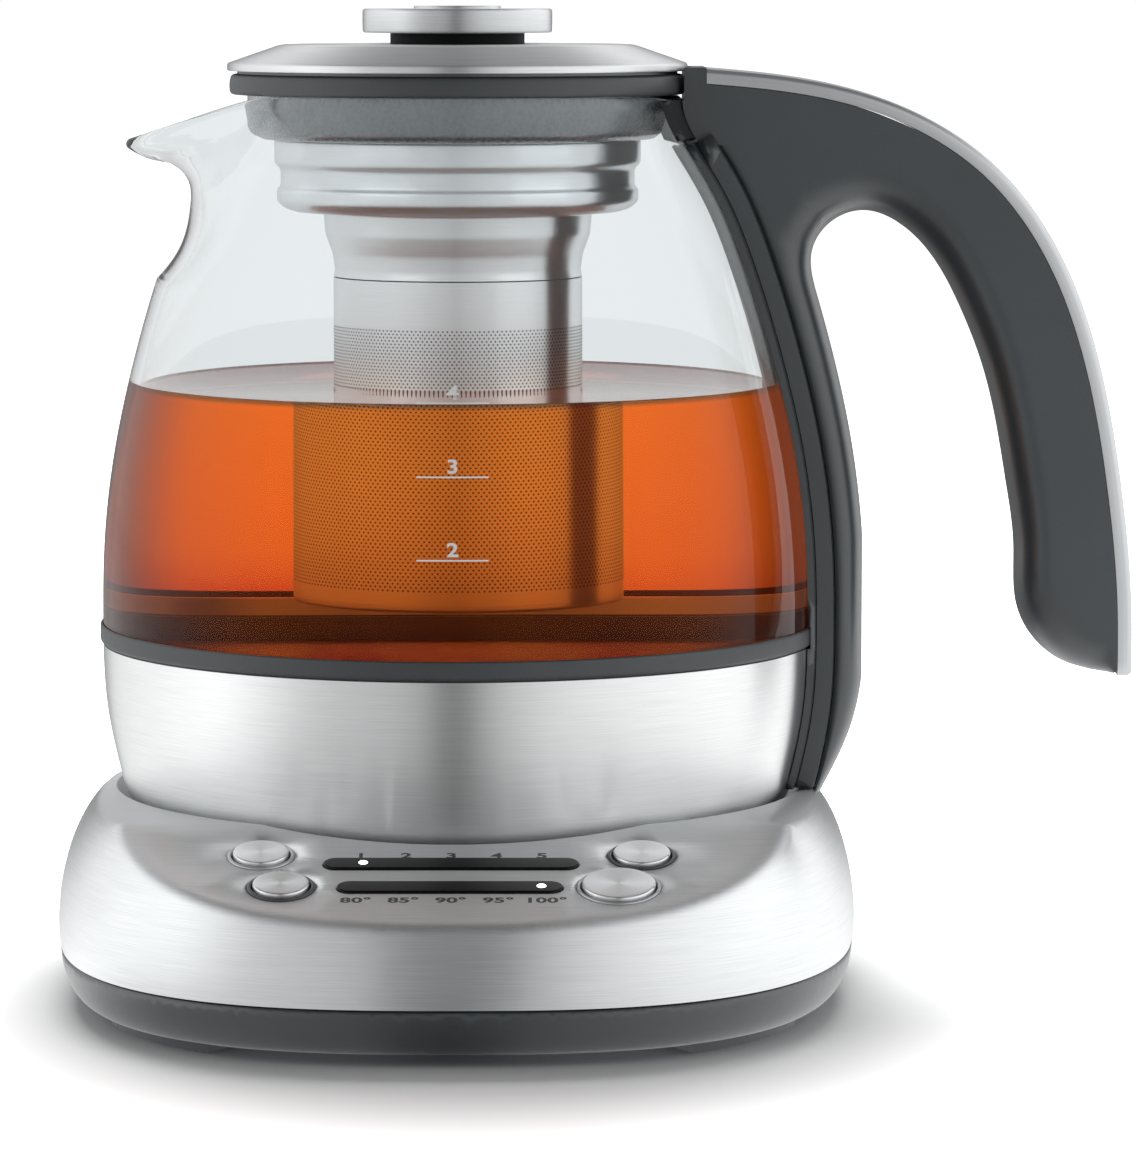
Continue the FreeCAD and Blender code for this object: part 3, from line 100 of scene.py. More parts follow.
# the handle's back, outwards from the glass's rim and up from it
HANDLE_SPINE = ((3.1, 5.8), (23.8, 3.7), (43.9, -1.4), (64.9, -14.1), (79.9, -34.5),
                (88.0, -57.4), (92.6, -82.8), (94.9, -108.2), (95.0, -118.5))
HANDLE_HALF_WIDTH = 13.0
TRIM_DEPTH = 3.2
TRIM_SEAT = TRIM_DEPTH + JOINT_GAP
TRIM_START_X = RIM_RADIUS + 5.1
NECK_BACK_X = RIM_RADIUS + 4.95
GRIP_DEPTH = 23.3
GRIP_END_X = RIM_RADIUS + HANDLE_SPINE[-1][0] - TRIM_SEAT
GRIP_END_Z = 65.0
COLUMN_FOOT_Z = 41.6
COLUMN_FOOT_DEPTH = 6.2
COLUMN_DEPTH = 10.8
COLUMN_RISE = 26.0
GAP_RADIUS = 11.3
GAP_DROP = 24.3
STRAP_OFFSET = 5.15
STRAP_END_Z = 176.2
BRACKET_OFFSET = 1.65
CLIP_TOP_Z = 185.5
NOTCH_RADIUS = LID_RADIUS + 2 * SLIDE_GAP


# ========== curves
def chord_lengths(points):
    """How far along a run of points each one lies."""
    return np.concatenate([[0], np.cumsum(np.linalg.norm(np.diff(points, axis=0), axis=1))])


def smooth_curve(knots, count=200):
    """Points along a natural cubic spline through the knots, spaced by chord length."""
    knots = np.array(knots, float)
    along = chord_lengths(knots)
    n, gap = len(knots), np.diff(along)
    system, right = np.eye(n), np.zeros_like(knots)
    for i in range(1, n - 1):
        system[i, i - 1:i + 2] = gap[i - 1], 2 * (gap[i - 1] + gap[i]), gap[i]
        right[i] = 6 * ((knots[i + 1] - knots[i]) / gap[i] - (knots[i] - knots[i - 1]) / gap[i - 1])
    bend = np.linalg.solve(system, right)
    at = np.linspace(0, along[-1], count)
    piece = np.clip(np.searchsorted(along, at, side="right") - 1, 0, n - 2)
    h = gap[piece][:, None]
    b = ((at - along[piece])[:, None]) / h
    a = 1 - b
    return (a * knots[piece] + b * knots[piece + 1]
            + ((a ** 3 - a) * bend[piece] + (b ** 3 - b) * bend[piece + 1]) * h ** 2 / 6)


def resampled(run, count):
    """Evenly spaced points along a run."""
    run = np.array(run)
    along = chord_lengths(run)
    at = np.linspace(0, along[-1], count)
    return np.stack([np.interp(at, along, run[:, i]) for i in (0, 1)], 1)


def curve_normals(curve, side):
    """Unit normals of a curve, to its right for side 1 and to its left for -1."""
    way = np.gradient(curve, axis=0)
    out = np.stack([way[:, 1], -way[:, 0]], 1) * side
    return out / np.linalg.norm(out, axis=1)[:, None]


def kettle_side():
    """Radius and height along the kettle's side, from its foot to its rim."""
    widest_z = KETTLE_FOOT_Z + WIDEST_HEIGHT
    knots = [(FOOT_RADIUS, KETTLE_FOOT_Z)]
    for height, swell in LOWER_SHAPE:
        knots.append((FOOT_RADIUS + (KETTLE_RADIUS - FOOT_RADIUS) * swell,
                      KETTLE_FOOT_Z + WIDEST_HEIGHT * height))
    for height, swell in UPPER_SHAPE:
        knots.append((RIM_RADIUS + (KETTLE_RADIUS - RIM_RADIUS) * swell,
                      widest_z + (GLASS_TOP_Z - widest_z) * height))
    return smooth_curve(knots, 800)


SIDE = kettle_side()
SIDE_NORMAL = curve_normals(SIDE, 1)


def side_at(z, offset=0.0):
    """Radius and height of the kettle's side at a height, moved out along its normal."""
    r = np.interp(z, SIDE[:, 1], SIDE[:, 0])
    out = np.array([np.interp(z, SIDE[:, 1], SIDE_NORMAL[:, i]) for i in (0, 1)])
    return np.array([r, z]) + out * offset


def radius_at(z, offset=0.0):
    return float(side_at(z, offset)[0])


def side_run(low, high, offset, count):
    return [tuple(side_at(z, offset)) for z in np.linspace(low, high, count)]


def rounded(corners, steps=4):
    """A closed profile whose corners (radius, height, rounding) are rounded off."""
    profile, n = [], len(corners)
    for i in range(n):
        here = np.array(corners[i][:2], float)
        if len(corners[i]) < 3 or corners[i][2] == 0:
            profile.append(tuple(here))
            continue
        before = np.array(corners[i - 1][:2], float) - here
        after = np.array(corners[(i + 1) % n][:2], float) - here
        reach = min(corners[i][2], 0.45 * np.linalg.norm(before), 0.45 * np.linalg.norm(after))
        start = here + before / np.linalg.norm(before) * reach
        end = here + after / np.linalg.norm(after) * reach
        for t in (k / steps for k in range(steps + 1)):
            profile.append(tuple((1 - t) ** 2 * start + 2 * t * (1 - t) * here + t * t * end))
    return profile


def disc(inner, outer, low, high, round_low=0.0, round_high=0.0):
    """The profile of a flat disc or washer whose outer edges may be rounded."""
    return rounded([(inner, low), (outer, low, round_low), (outer, high, round_high), (inner, high)])


# ========== meshes
def add_object(name, data):
    """Puts a mesh, curve, lamp or camera into the scene."""
    thing = bpy.data.objects.new(name, data)
    bpy.context.scene.collection.objects.link(thing)
    return thing


def mesh_from(name, bm):
    mesh = bpy.data.meshes.new(name)
    bm.to_mesh(mesh)
    bm.free()
    return mesh


def final_mesh(name, source):
    """The mesh that a curve or a modifier makes, kept without its source."""
    bpy.context.view_layer.update()
    mesh = bpy.data.meshes.new_from_object(source.evaluated_get(bpy.context.evaluated_depsgraph_get()))
    bpy.data.objects.remove(source)
    mesh.name = name
    return mesh


def finish_mesh(name, bm, sharp=35.0, merge=2e-6, outwards=True):
    """Turns a bmesh into a smooth-shaded piece whose normals point outwards."""
    bmesh.ops.remove_doubles(bm, verts=bm.verts, dist=merge)
    bmesh.ops.dissolve_degenerate(bm, edges=bm.edges, dist=1e-7)
    if outwards:
        bmesh.ops.recalc_face_normals(bm, faces=bm.faces)
    mesh = mesh_from(name, bm)
    mesh.polygons.foreach_set("use_smooth", [True] * len(mesh.polygons))
    mesh.set_sharp_from_angle(angle=math.radians(sharp))
    return add_object(name, mesh)


def turned(name, profile, steps=TURN_STEPS, sharp=35.0, place=None):
    """Turns a closed profile of (radius, height) about the Z axis; its UV map runs round and along it."""
    bm = bmesh.new()
    layer = bm.loops.layers.uv.new("brush")
    profile = [p for i, p in enumerate(profile) if math.dist(p, profile[i - 1]) > 1e-4]
    along = [0.0]
    for i in range(len(profile)):
        along.append(along[-1] + math.dist(profile[i], profile[(i + 1) % len(profile)]))
    widest = max(p[0] for p in profile)
    angles = [2 * math.pi * k / steps for k in range(steps)]
    rings = []
    for r, z in profile:
        if r < 1e-4:
            pole = bm.verts.new((0, 0, z * MM))
            rings.append([pole] * steps)
        else:
            rings.append([bm.verts.new((r * math.cos(a) * MM, r * math.sin(a) * MM, z * MM)) for a in angles])
    for i in range(len(profile)):
        j = (i + 1) % len(profile)
        if rings[i][0] is rings[i][1] and rings[j][0] is rings[j][1]:
            continue
        for k in range(steps):
            m = (k + 1) % steps
            corners = {}
            for vertex, turn, row in ((rings[i][k], k, i), (rings[i][m], k + 1, i),
                                      (rings[j][m], k + 1, i + 1), (rings[j][k], k, i + 1)):
                corners.setdefault(vertex, (turn, row))
            face = bm.faces.new(list(corners))
            for loop, (turn, row) in zip(face.loops, corners.values()):
                loop[layer].uv = (2 * math.pi * turn / steps * widest * MM, along[row] * MM)
    if place is not None:
        bm.transform(place)
    return finish_mesh(name, bm, sharp)


def loft(name, rows):
    """A skin through equal closed rows of points in millimetres, capped at both ends."""
    bm = bmesh.new()
    layer = bm.loops.layers.uv.new("brush")
    grid = [[bm.verts.new(Vector(p) * MM) for p in row] for row in rows]
    width = len(rows[0])
    along = chord_lengths([np.mean(np.array(row), axis=0) for row in rows])
    for i in range(len(rows) - 1):
        for k in range(width):
            m = (k + 1) % width
            face = bm.faces.new((grid[i][k], grid[i][m], grid[i + 1][m], grid[i + 1][k]))
            for loop, (row, column) in zip(face.loops, ((i, k), (i, k + 1), (i + 1, k + 1), (i + 1, k))):
                loop[layer].uv = (along[row] * MM, column * 0.6 * MM)
    bm.faces.new(grid[0])
    bm.faces.new(list(reversed(grid[-1])))
    return finish_mesh(name, bm, 40)


def smooth_copy(name, node, sharp, brush=None):
    """A merged copy of a solid's mesh with soft shading; brush sets the direction of its UV map."""
    bm = bmesh.new()
    bm.from_mesh(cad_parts[node].data)
    for kind in (bm.loops.layers.float_vector, bm.loops.layers.float, bm.loops.layers.uv):
        for layer in list(kind.values()):
            kind.remove(layer)
    bmesh.ops.remove_doubles(bm, verts=bm.verts, dist=2e-6)
    bmesh.ops.dissolve_degenerate(bm, edges=bm.edges, dist=1e-6)
    if brush:
        layer = bm.loops.layers.uv.new("brush")
        for face in bm.faces:
            middle = face.calc_center_median()
            for loop in face.loops:
                loop[layer].uv = brush(loop.vert.co, middle, face.normal)
    return finish_mesh(name, bm, sharp, merge=1e-7, outwards=False)


def brush_across(co, middle, normal):
    """Brush lines that run left to right on the flat panel and level round the sides."""
    flat, centre_y, reach = 0.957, -5.0 * MM, 90.0 * MM
    if abs(normal.z) > flat:
        return (co.x, co.y)
    start = math.atan2(middle.y - centre_y, middle.x)
    angle = start + math.remainder(math.atan2(co.y - centre_y, co.x) - start, 2 * math.pi)
    return (angle * reach, co.z)


def dress(piece, body, slot, material, *nodes):
    """Gives a piece its body and material, and lets it stand for the solids named; its record slot is not
    used.
    """
    piece.data.materials.clear()
    piece.data.materials.append(material)
    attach(piece, body)
    if nodes:
        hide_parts(*nodes)
    return piece


def panel_matrix(x, up, lift=0.0):
    """The place of something drawn about the origin, +Z outwards, on the control panel."""
    turn = Matrix.Rotation(math.radians(PANEL_TILT), 4, "X")
    origin = Vector((x, CREASE_Y, CREASE_Z)) + turn @ Vector((0, up, lift))
    return Matrix.Translation(origin * MM) @ turn


# ========== nodes
def linear(code):
    """A colour from its sRGB hex value."""
    parts = [int(code[i:i + 2], 16) / 255 for i in (1, 3, 5)]
    return tuple(c / 12.92 if c <= 0.04045 else ((c + 0.055) / 1.055) ** 2.4 for c in parts) + (1.0,)


def feed(tree, node, inputs):
    """Links the outputs given into a node's sockets, and sets any other value on its own socket."""
    for key, value in inputs.items():
        if isinstance(value, bpy.types.NodeSocket):
            tree.links.new(value, node.inputs[key])
        else:
            node.inputs[key].default_value = value


def add(tree, kind, inputs=None, **settings):
    """Adds a node with its settings and inputs."""
    node = tree.nodes.new(kind)
    for key, value in settings.items():
        setattr(node, key, value)
    feed(tree, node, inputs or {})
    return node


def calc(tree, operation, *operands):
    return add(tree, "ShaderNodeMath", dict(enumerate(operands)), operation=operation).outputs[0]


def remap(tree, value, low, high, to_low=0.0, to_high=1.0, **settings):
    """A value's range from low to high, spread over another one and held inside it."""
    limits = {"Value": value, "From Min": low, "From Max": high, "To Min": to_low, "To Max": to_high}
    return add(tree, "ShaderNodeMapRange", limits, **settings).outputs[0]


def noise(tree, place, scale, detail, roughness=0.5):
    return add(tree, "ShaderNodeTexNoise",
               {"Vector": place, "Scale": scale, "Detail": detail, "Roughness": roughness}).outputs[0]


def bump(tree, height, strength, distance):
    inputs = {"Height": height, "Strength": strength, "Distance": distance}
    return add(tree, "ShaderNodeBump", inputs).outputs[0]


def mixed(tree, factor, first, second):
    """The first colour where the factor is 0, the second where it is 1."""
    return add(tree, "ShaderNodeMix", {"Factor": factor, "A": first, "B": second},
               data_type="RGBA").outputs["Result"]


def ramp(tree, factor, *stops):
    """A colour ramp through (place, hex colour or grey level) stops."""
    node = add(tree, "ShaderNodeValToRGB", {"Fac": factor})
    elements = node.color_ramp.elements
    while len(elements) < len(stops):
        elements.new(0.5)
    for element, (place, colour) in zip(elements, stops):
        element.position = place
        element.color = linear(colour) if isinstance(colour, str) else (colour, colour, colour, 1)
    return node.outputs["Color"]


def object_place(tree):
    return add(tree, "ShaderNodeTexCoord").outputs["Object"]


def from_axis(tree, parts):
    """The distance of a place from the Z axis."""
    flat = add(tree, "ShaderNodeCombineXYZ", {0: parts["X"], 1: parts["Y"]}).outputs[0]
    return add(tree, "ShaderNodeVectorMath", {0: flat}, operation="LENGTH").outputs["Value"]


def light_path(tree):
    return add(tree, "ShaderNodeLightPath").outputs


def after_reflection(tree):
    """1 for rays that a surface has mirrored before, 0 for the others."""
    return calc(tree, "GREATER_THAN", light_path(tree)["Glossy Depth"], 0.5)


def either(tree, first, second):
    return calc(tree, "MAXIMUM", first, second)


# ========== materials
def blank_material(name):
    material = bpy.data.materials.new(name)
    material.use_nodes = True
    material.node_tree.nodes.clear()
    return material, material.node_tree


def new_material(name, values):
    """A material with one Principled shader whose constants are set on its own sockets."""
    material, tree = blank_material(name)
    shader = add(tree, "ShaderNodeBsdfPrincipled", values)
    add(tree, "ShaderNodeOutputMaterial", {"Surface": shader.outputs[0]})
    return material, tree, shader


def brushed(name, light, dark, roughness, anisotropic, grain_mm=0.10, length_mm=14.0, flat_top_painted_light=0.0, metal=1.0):
    """Metal finished with a belt or a lathe: hair-fine scratches that spread highlights across them."""
    material, tree, shader = new_material(
        name, {"Metallic": metal, "Anisotropic": anisotropic, "Anisotropic Rotation": 0.25})
    place = add(tree, "ShaderNodeUVMap", uv_map="brush").outputs[0]

    def streaks(long_mm, wide_mm):
        scale = (1 / (long_mm * MM), 1 / (wide_mm * MM), 1)
        return add(tree, "ShaderNodeMapping", {"Vector": place, "Scale": scale}).outputs[0]

    hair = noise(tree, streaks(length_mm, grain_mm), 1.0, 3.0, 0.6)
    cloud = noise(tree, streaks(60, 1.1), 1.0, 2.0)
    faint = calc(tree, "MULTIPLY_ADD", cloud, 0.16, 0.42)
    scratches = calc(tree, "MULTIPLY", calc(tree, "ADD", hair, faint), 0.5)
    feed(tree, shader, {
        "Base Color": ramp(tree, scratches, (0.32, dark), (0.62, light)),
        "Roughness": remap(tree, scratches, 0.3, 0.7, roughness - 0.03, roughness + 0.03),
        "Normal": bump(tree, hair, 0.15, 0.00001),
        "Tangent": add(tree, "ShaderNodeTangent", direction_type="UV_MAP", uv_map="brush").outputs[0]})
    if flat_top_painted_light:
        # painted light: faces that lie flat are made partly matt by their facing alone, so the top lamp
        # lightens the flat top
        facing = add(tree, "ShaderNodeSeparateXYZ", {0: add(tree, "ShaderNodeTexCoord").outputs["Normal"]})
        feed(tree, shader, {"Metallic": remap(tree, facing.outputs["Z"], 0.75, 0.95, 1.0, 1.0 - flat_top_painted_light)})
    return material


def moulded(name, colour, lighter, roughness, grain_mm=0.35, depth=0.00002, extra=None):
    """Moulded or cast stuff with a fine grain that breaks up its soft sheen, and a faint cloud of tone."""
    material, tree, shader = new_material(name, extra or {})
    place = object_place(tree)
    grain = noise(tree, place, 1 / (grain_mm * MM), 3.0, 0.55)
    cloud = noise(tree, place, 1 / (25 * MM), 2.0)
    feed(tree, shader, {
        "Base Color": ramp(tree, calc(tree, "MULTIPLY", grain, cloud), (0.15, colour), (0.40, lighter)),
        "Roughness": remap(tree, grain, 0.3, 0.7, roughness - 0.05, roughness + 0.05),
        "Normal": bump(tree, grain, 0.5, depth)})
    return material


def see_through(name, ior, tint, shade, gloss):
    """A clear solid that lets lamps shine through it: a plain filter takes over on shadow and matt rays."""
    material, tree = blank_material(name)
    shader = add(tree, "ShaderNodeBsdfPrincipled",
                 {"Base Color": linear(tint), "IOR": ior, "Roughness": 0.0, "Transmission Weight": 1.0,
                  "Specular Tint": (gloss, gloss, gloss, 1)})
    clear = add(tree, "ShaderNodeBsdfTransparent", {"Color": linear(shade)})
    path = light_path(tree)
    past = either(tree, path["Is Shadow Ray"], path["Is Diffuse Ray"])
    mix = add(tree, "ShaderNodeMixShader", {0: past, 1: shader.outputs[0], 2: clear.outputs[0]})
    add(tree, "ShaderNodeOutputMaterial", {"Surface": mix.outputs[0]})
    return material, tree, shader


def borosilicate_glass():
    """Blown borosilicate: almost colourless, with a faint unevenness that bends what lies behind.

    Its index is kept under glass's 1.47, because the bright room would veil the tea at the wall's edges.
    """
    material, tree, shader = see_through("borosilicate_glass", 1.2, "#f3f6f7", "#f2f6f6", 0.35)
    wave = noise(tree, object_place(tree), 22.0, 1.0)
    feed(tree, shader, {"Normal": bump(tree, wave, 0.04, 0.001)})
    return material


def black_tea():
    """Brewed tea: clear orange that deepens to red towards the heater, with a painted dark line round its
    surface.
    """
    material, tree, shader = see_through("black_tea", 1.333, "#ffffff", "#f4a070", 0.1)
    place = object_place(tree)
    parts = add(tree, "ShaderNodeSeparateXYZ", {0: place}).outputs
    height = remap(tree, parts["Z"], HEATER_FLOOR_Z * MM, TEA_Z * MM)
    swirl = calc(tree, "MULTIPLY_ADD", noise(tree, place, 28.0, 3.0), 0.3, height)
    strength = calc(tree, "SUBTRACT", swirl, 0.15)
    body = ramp(tree, strength, (0.0, "#74080c"), (0.12, "#c02418"), (0.28, "#f2601c"), (1.0, "#ff7620"))
    # the longer way through the liquid at its sides
    grazing = add(tree, "ShaderNodeLayerWeight", {"Blend": 0.5}).outputs["Facing"]
    deep = remap(tree, grazing, 0.12, 0.55, to_high=0.92)
    # painted shade: a dark line round the surface where it meets the glass
    wall = radius_at(TEA_Z) - GLASS_WALL
    near_wall = remap(tree, from_axis(tree, parts), (wall - 1.6) * MM, (wall - 0.5) * MM)
    near_top = remap(tree, parts["Z"], (TEA_Z - 1.0) * MM, (TEA_Z - 0.2) * MM)
    rim = calc(tree, "MULTIPLY", near_wall, near_top)
    # painted reflection: mirrored rays get painted tints, golden on the tube above its foot and pale under
    # the surface, for their double way through the tea
    mirrored = after_reflection(tree)
    golden_painted_reflection = calc(tree, "MULTIPLY", mirrored, remap(tree, height, 0.16, 0.34, to_high=0.6))
    pale = calc(tree, "MULTIPLY", mirrored, near_top)
    colour = body
    for share, tint in ((deep, "#6a2810"), (rim, "#5a4a40"), (golden_painted_reflection, "#ffc050"), (pale, "#f0e4dc")):
        colour = mixed(tree, share, colour, linear(tint))
    # a faint painted glow where the tea is strong, standing in for the light that it scatters towards the eye
    feed(tree, shader, {"Base Color": colour, "Emission Color": linear("#ff7020"),
                        "Emission Strength": remap(tree, strength, 0.1, 0.45, to_high=0.05)})
    return material


def printed(name, colour):
    """Pad-printed ink: a thin matt film with a slightly uneven density."""
    material, tree, shader = new_material(name, {"Roughness": 0.45})
    base = linear(colour)
    pale = tuple(min(1.0, c * 1.15 + 0.02) for c in base[:3]) + (1.0,)
    grain = noise(tree, object_place(tree), 1800.0, 2.0)
    feed(tree, shader, {"Base Color": mixed(tree, grain, base, pale)})
    return material


def lit_lamp(name, colour, strength):
    """The frosted end of a light guide with its lamp on."""
    return new_material(name, {"Roughness": 0.3, "Base Color": linear(colour),
                               "Emission Color": linear(colour), "Emission Strength": strength})[0]


# the base's flat top gets painted light: it is made partly matt there so the top lamp lightens it
STEEL_BASE = brushed("brushed_stainless_base", "#f2f4f5", "#ced1d3", 0.36, 0.92, flat_top_painted_light=0.6)
STEEL_BAND = brushed("brushed_stainless_band", "#f1f2f2", "#d2d4d5", 0.34, 0.95)
STEEL_LID = brushed("brushed_stainless_lid", "#eceeef", "#c6c9cb", 0.40, 0.92)
STEEL_BASKET = brushed("drawn_stainless_basket", "#eceeef", "#dfe0e1", 0.30, 0.8, 0.16, 10.0, metal=0.82)
# the heater dish in steel far darker than bare metal, which darkens the tea's foot
STEEL_DISH = moulded("dark_heater_steel", "#3a2f2c", "#463a36", 0.5, 2.0, 0.000005, {"Metallic": 1.0})
# a darker, rougher copy of the basket's steel: painted shade for the lid's inner cover, which sits under the
# lid
STEEL_SHADED = brushed("painted_shade_stainless_inner", "#7e8183", "#6c6f71", 0.45, 0.5)
STEEL_BUTTON = brushed("spun_stainless_button", "#f0f1f2", "#d4d6d8", 0.26, 0.95, 0.07, 6.0)
SILVER = brushed("satin_silver_trim", "#cbcdcf", "#bcbfc1", 0.36, 0.3, 0.2, 30.0)
SLATE = moulded("slate_abs", "#272f34", "#30393f", 0.38,
                extra={"Specular IOR Level": 0.9, "Coat Weight": 0.3, "Coat Roughness": 0.3})
BLACK = moulded("black_abs", "#15181a", "#1e2224", 0.38)
NECK_BLACK = moulded("matt_black_abs", "#050606", "#0a0b0c", 0.6, extra={"Specular IOR Level": 0.2})
RUBBER = moulded("slate_rubber", "#2b3034", "#363c40", 0.50, 0.5, extra={"Specular IOR Level": 0.8})
SILICONE = moulded("grey_silicone", "#60676c", "#6c7378", 0.28, 0.8,
                   extra={"Specular IOR Level": 1.0, "Coat Weight": 1.0, "Coat IOR": 2.0,
                          "Coat Roughness": 0.25})
GLASS = borosilicate_glass()
TEA = black_tea()
SMOKED = moulded("smoked_acrylic", "#030404", "#060708", 0.16, 0.8, 0.000002, {"Specular IOR Level": 0.2})
BRASS = brushed("turned_brass", "#d9b56a", "#c09a50", 0.25, 0.3)
ALUMINIUM = moulded("cast_aluminium", "#a8abad", "#bfc2c4", 0.45, 0.6, extra={"Metallic": 1.0})
ELEMENT = moulded("oxidised_element_steel", "#6f6a66", "#8a8480", 0.45, 0.8, extra={"Metallic": 1.0})
BOARD = moulded("solder_mask_green", "#1f4a35", "#27573f", 0.35, 1.2)
GUIDE = moulded("clear_acrylic_rod", "#e8ecec", "#f4f6f6", 0.2, 1.0)
WHITE_INK = printed("white_enamel_print", "#f6f7f7")
DARK_INK = printed("grey_ink_print", "#3a3f42")
LAMP_GLOW = lit_lamp("lit_lamp", "#ffffff", 3.0)
# flat dark discs on the basket's tube: painted shade where its holes are
HOLE_SHADE = moulded("hole_shadow", "#3a3d3e", "#46494a", 0.7, 0.4)

# ---------- solids that stay as they are
for material, nodes in ((RUBBER, "base_feet"), (STEEL_BUTTON, "base_screws lid_screw"),
                        (BLACK, "seat_plate tact_switches cable_inlet jug_connector"),
                        (BRASS, "socket_contacts jug_pin jug_contact_ring"), (GUIDE, "light_guides"),
                        (BOARD, "control_board power_board"), (ALUMINIUM, "heat_spreader temperature_sensor"),
                        (ELEMENT, "heating_element"), (SILICONE, "lid_gasket")):
    for node in nodes.split():
        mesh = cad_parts[node].data
        mesh.materials.clear()
        mesh.materials.append(material)


# ========== base
cover_skin = smooth_copy("base_cover_skin", "base_cover", 30, brush_across)
dress(cover_skin, "base", "steel_brushed", STEEL_BASE, "base_cover")
for node, sharp, slot, material in (("base_tray", 30, "plastic_slate", SLATE),
                                    ("window_upper", 40, "window_black", SMOKED),
                                    ("window_lower", 40, "window_black", SMOKED)):
    dress(smooth_copy(node + "_skin", node, sharp), "base", slot, material, node)

for which, x, up, radius, outer in BUTTONS:
    slot, material = ("trim_silver", SILVER) if which in ("steep", "start") else ("plastic_slate", SLATE)
    inner = radius + 0.3
    ring = rounded([(inner, -4.0), (outer - 0.6, -4.0), (outer - 0.6, -0.6), (outer, -0.6),
                    (outer, 0.33, 0.3), ((outer + inner) / 2, 0.5, 0.4), (inner, 0.3, 0.25)])
    bezel = turned(f"bezel_{which}_ring", ring, 96, place=panel_matrix(x, up))
    dress(bezel, "base", slot, material, "bezel_" + which)
    stem = 1.6
    cap = rounded([(0, BUTTON_STEM_END), (stem, BUTTON_STEM_END), (stem, -3.0), (radius, -3.0),
                   (radius, 1.2, 0.5), (radius * 0.55, 1.08, 1.5), (0, 1.0)])
    button = turned(f"button_{which}_cap", cap, 96, place=panel_matrix(x, up))
    dress(button, f"{which}_button", "steel_button", STEEL_BUTTON, "button_" + which)


def lettering(name, text, height, place, body, slot, material, wide, bold, onto=None):
    """Printed figures: a flat mesh set a hair above what carries it."""
    type_name, size_per_height = name + "_type", 1.42
    curve = bpy.data.curves.new(type_name, "FONT")
    curve.body = text
    curve.size = height * MM * size_per_height
    curve.align_x = "CENTER"
    curve.space_character = 1.05
    curve.offset = bold * MM
    mesh = final_mesh(name, add_object(type_name, curve))
    mesh.transform(place @ Matrix.Diagonal((wide, 1, 1, 1)))
    if onto:
        for vertex in mesh.vertices:
            vertex.co = onto(vertex.co)
    dress(add_object(name, mesh), body, slot, material)


for i in range(5):
    for row, text, x, up, wide in (("mark", str(i + 1), (i - 2) * 9.0, 32.2, 1.35),
                                   ("heat", f"{80 + 5 * i}\u00b0", (i - 2) * 9.3 + 0.3, 10.9, 1.3)):
        lettering(f"panel_{row}_{i + 1}", text, 2.3, panel_matrix(x, up, 0.02), "base", "plastic_black",
                  DARK_INK, wide, 0.11)

# the two guides that are lit, as small domes on the windows
dome = [(0, 0.40), (1.0, 0.40), (0.9, 0.56), (0.6, 0.64), (0, 0.68)]
for name, x, up in (("lamp_first", -17.4, 28.9), ("lamp_fifth", 18.0, 17.7)):
    dress(turned(name, dome, 24, place=panel_matrix(x, up)), "base", "lamp_guide", LAMP_GLOW)

# ========== kettle
band = side_run(KETTLE_FOOT_Z, BAND_TOP_Z, 0.0, 40) + side_run(BAND_TOP_Z, KETTLE_FOOT_Z, -BAND_SHEET, 20)
dress(turned("band_skin", band), "jug", "steel_brushed", STEEL_BAND, "jug_band")

glass_r = radius_at(GLASS_BOTTOM_Z)
seal_low, slot_low, slot_high = BAND_TOP_Z + 0.1, GLASS_BOTTOM_Z - 0.1, RING_TOP_Z - 1.0
seal = rounded([(glass_r - 3.6, seal_low), (glass_r - 0.2, seal_low, 0.2),
                (glass_r + 0.6, seal_low + 0.7, 0.4), (glass_r + 0.6, RING_TOP_Z - 0.4, 0.4),
                (glass_r + 0.1, RING_TOP_Z, 0.3), (glass_r + 0.1, slot_low),
                (glass_r - 2.55, slot_low), (glass_r - 2.55, slot_high), (glass_r - 3.6, slot_high)])
dress(turned("glass_seal", seal), "jug", "rubber_slate", RUBBER, "glass_ring")
lip = disc(glass_r - 3.7, glass_r - 2.52, BAND_TOP_Z + 0.2, slot_high + SEAT_GAP)
dress(turned("seal_lip", lip), "jug", "steel_basket", STEEL_BASKET)

SPOUT_EDGE = smooth_curve([(radius_at(NECK_LOW_Z), NECK_LOW_Z), (57.9, 155.4), (56.2, 163.0), (56.6, 168.4),
                           (59.6, 171.6), (65.0, 173.0), (69.3, 175.2)], 120)


def glass_wall_at(turn, share):
    """A point of the glass's outside, by its turn from the spout in degrees and its share of the neck."""
    body = side_at(NECK_LOW_Z + (GLASS_TOP_Z - 1.0 - NECK_LOW_Z) * share)
    lean = abs(turn) / SPOUT_HALF_ANGLE
    if lean >= 1:
        return body
    spout = SPOUT_EDGE[int(round(share * (len(SPOUT_EDGE) - 1)))]
    return body + (spout - body) * (1 - lean) ** 2 * (1 + 2 * lean)


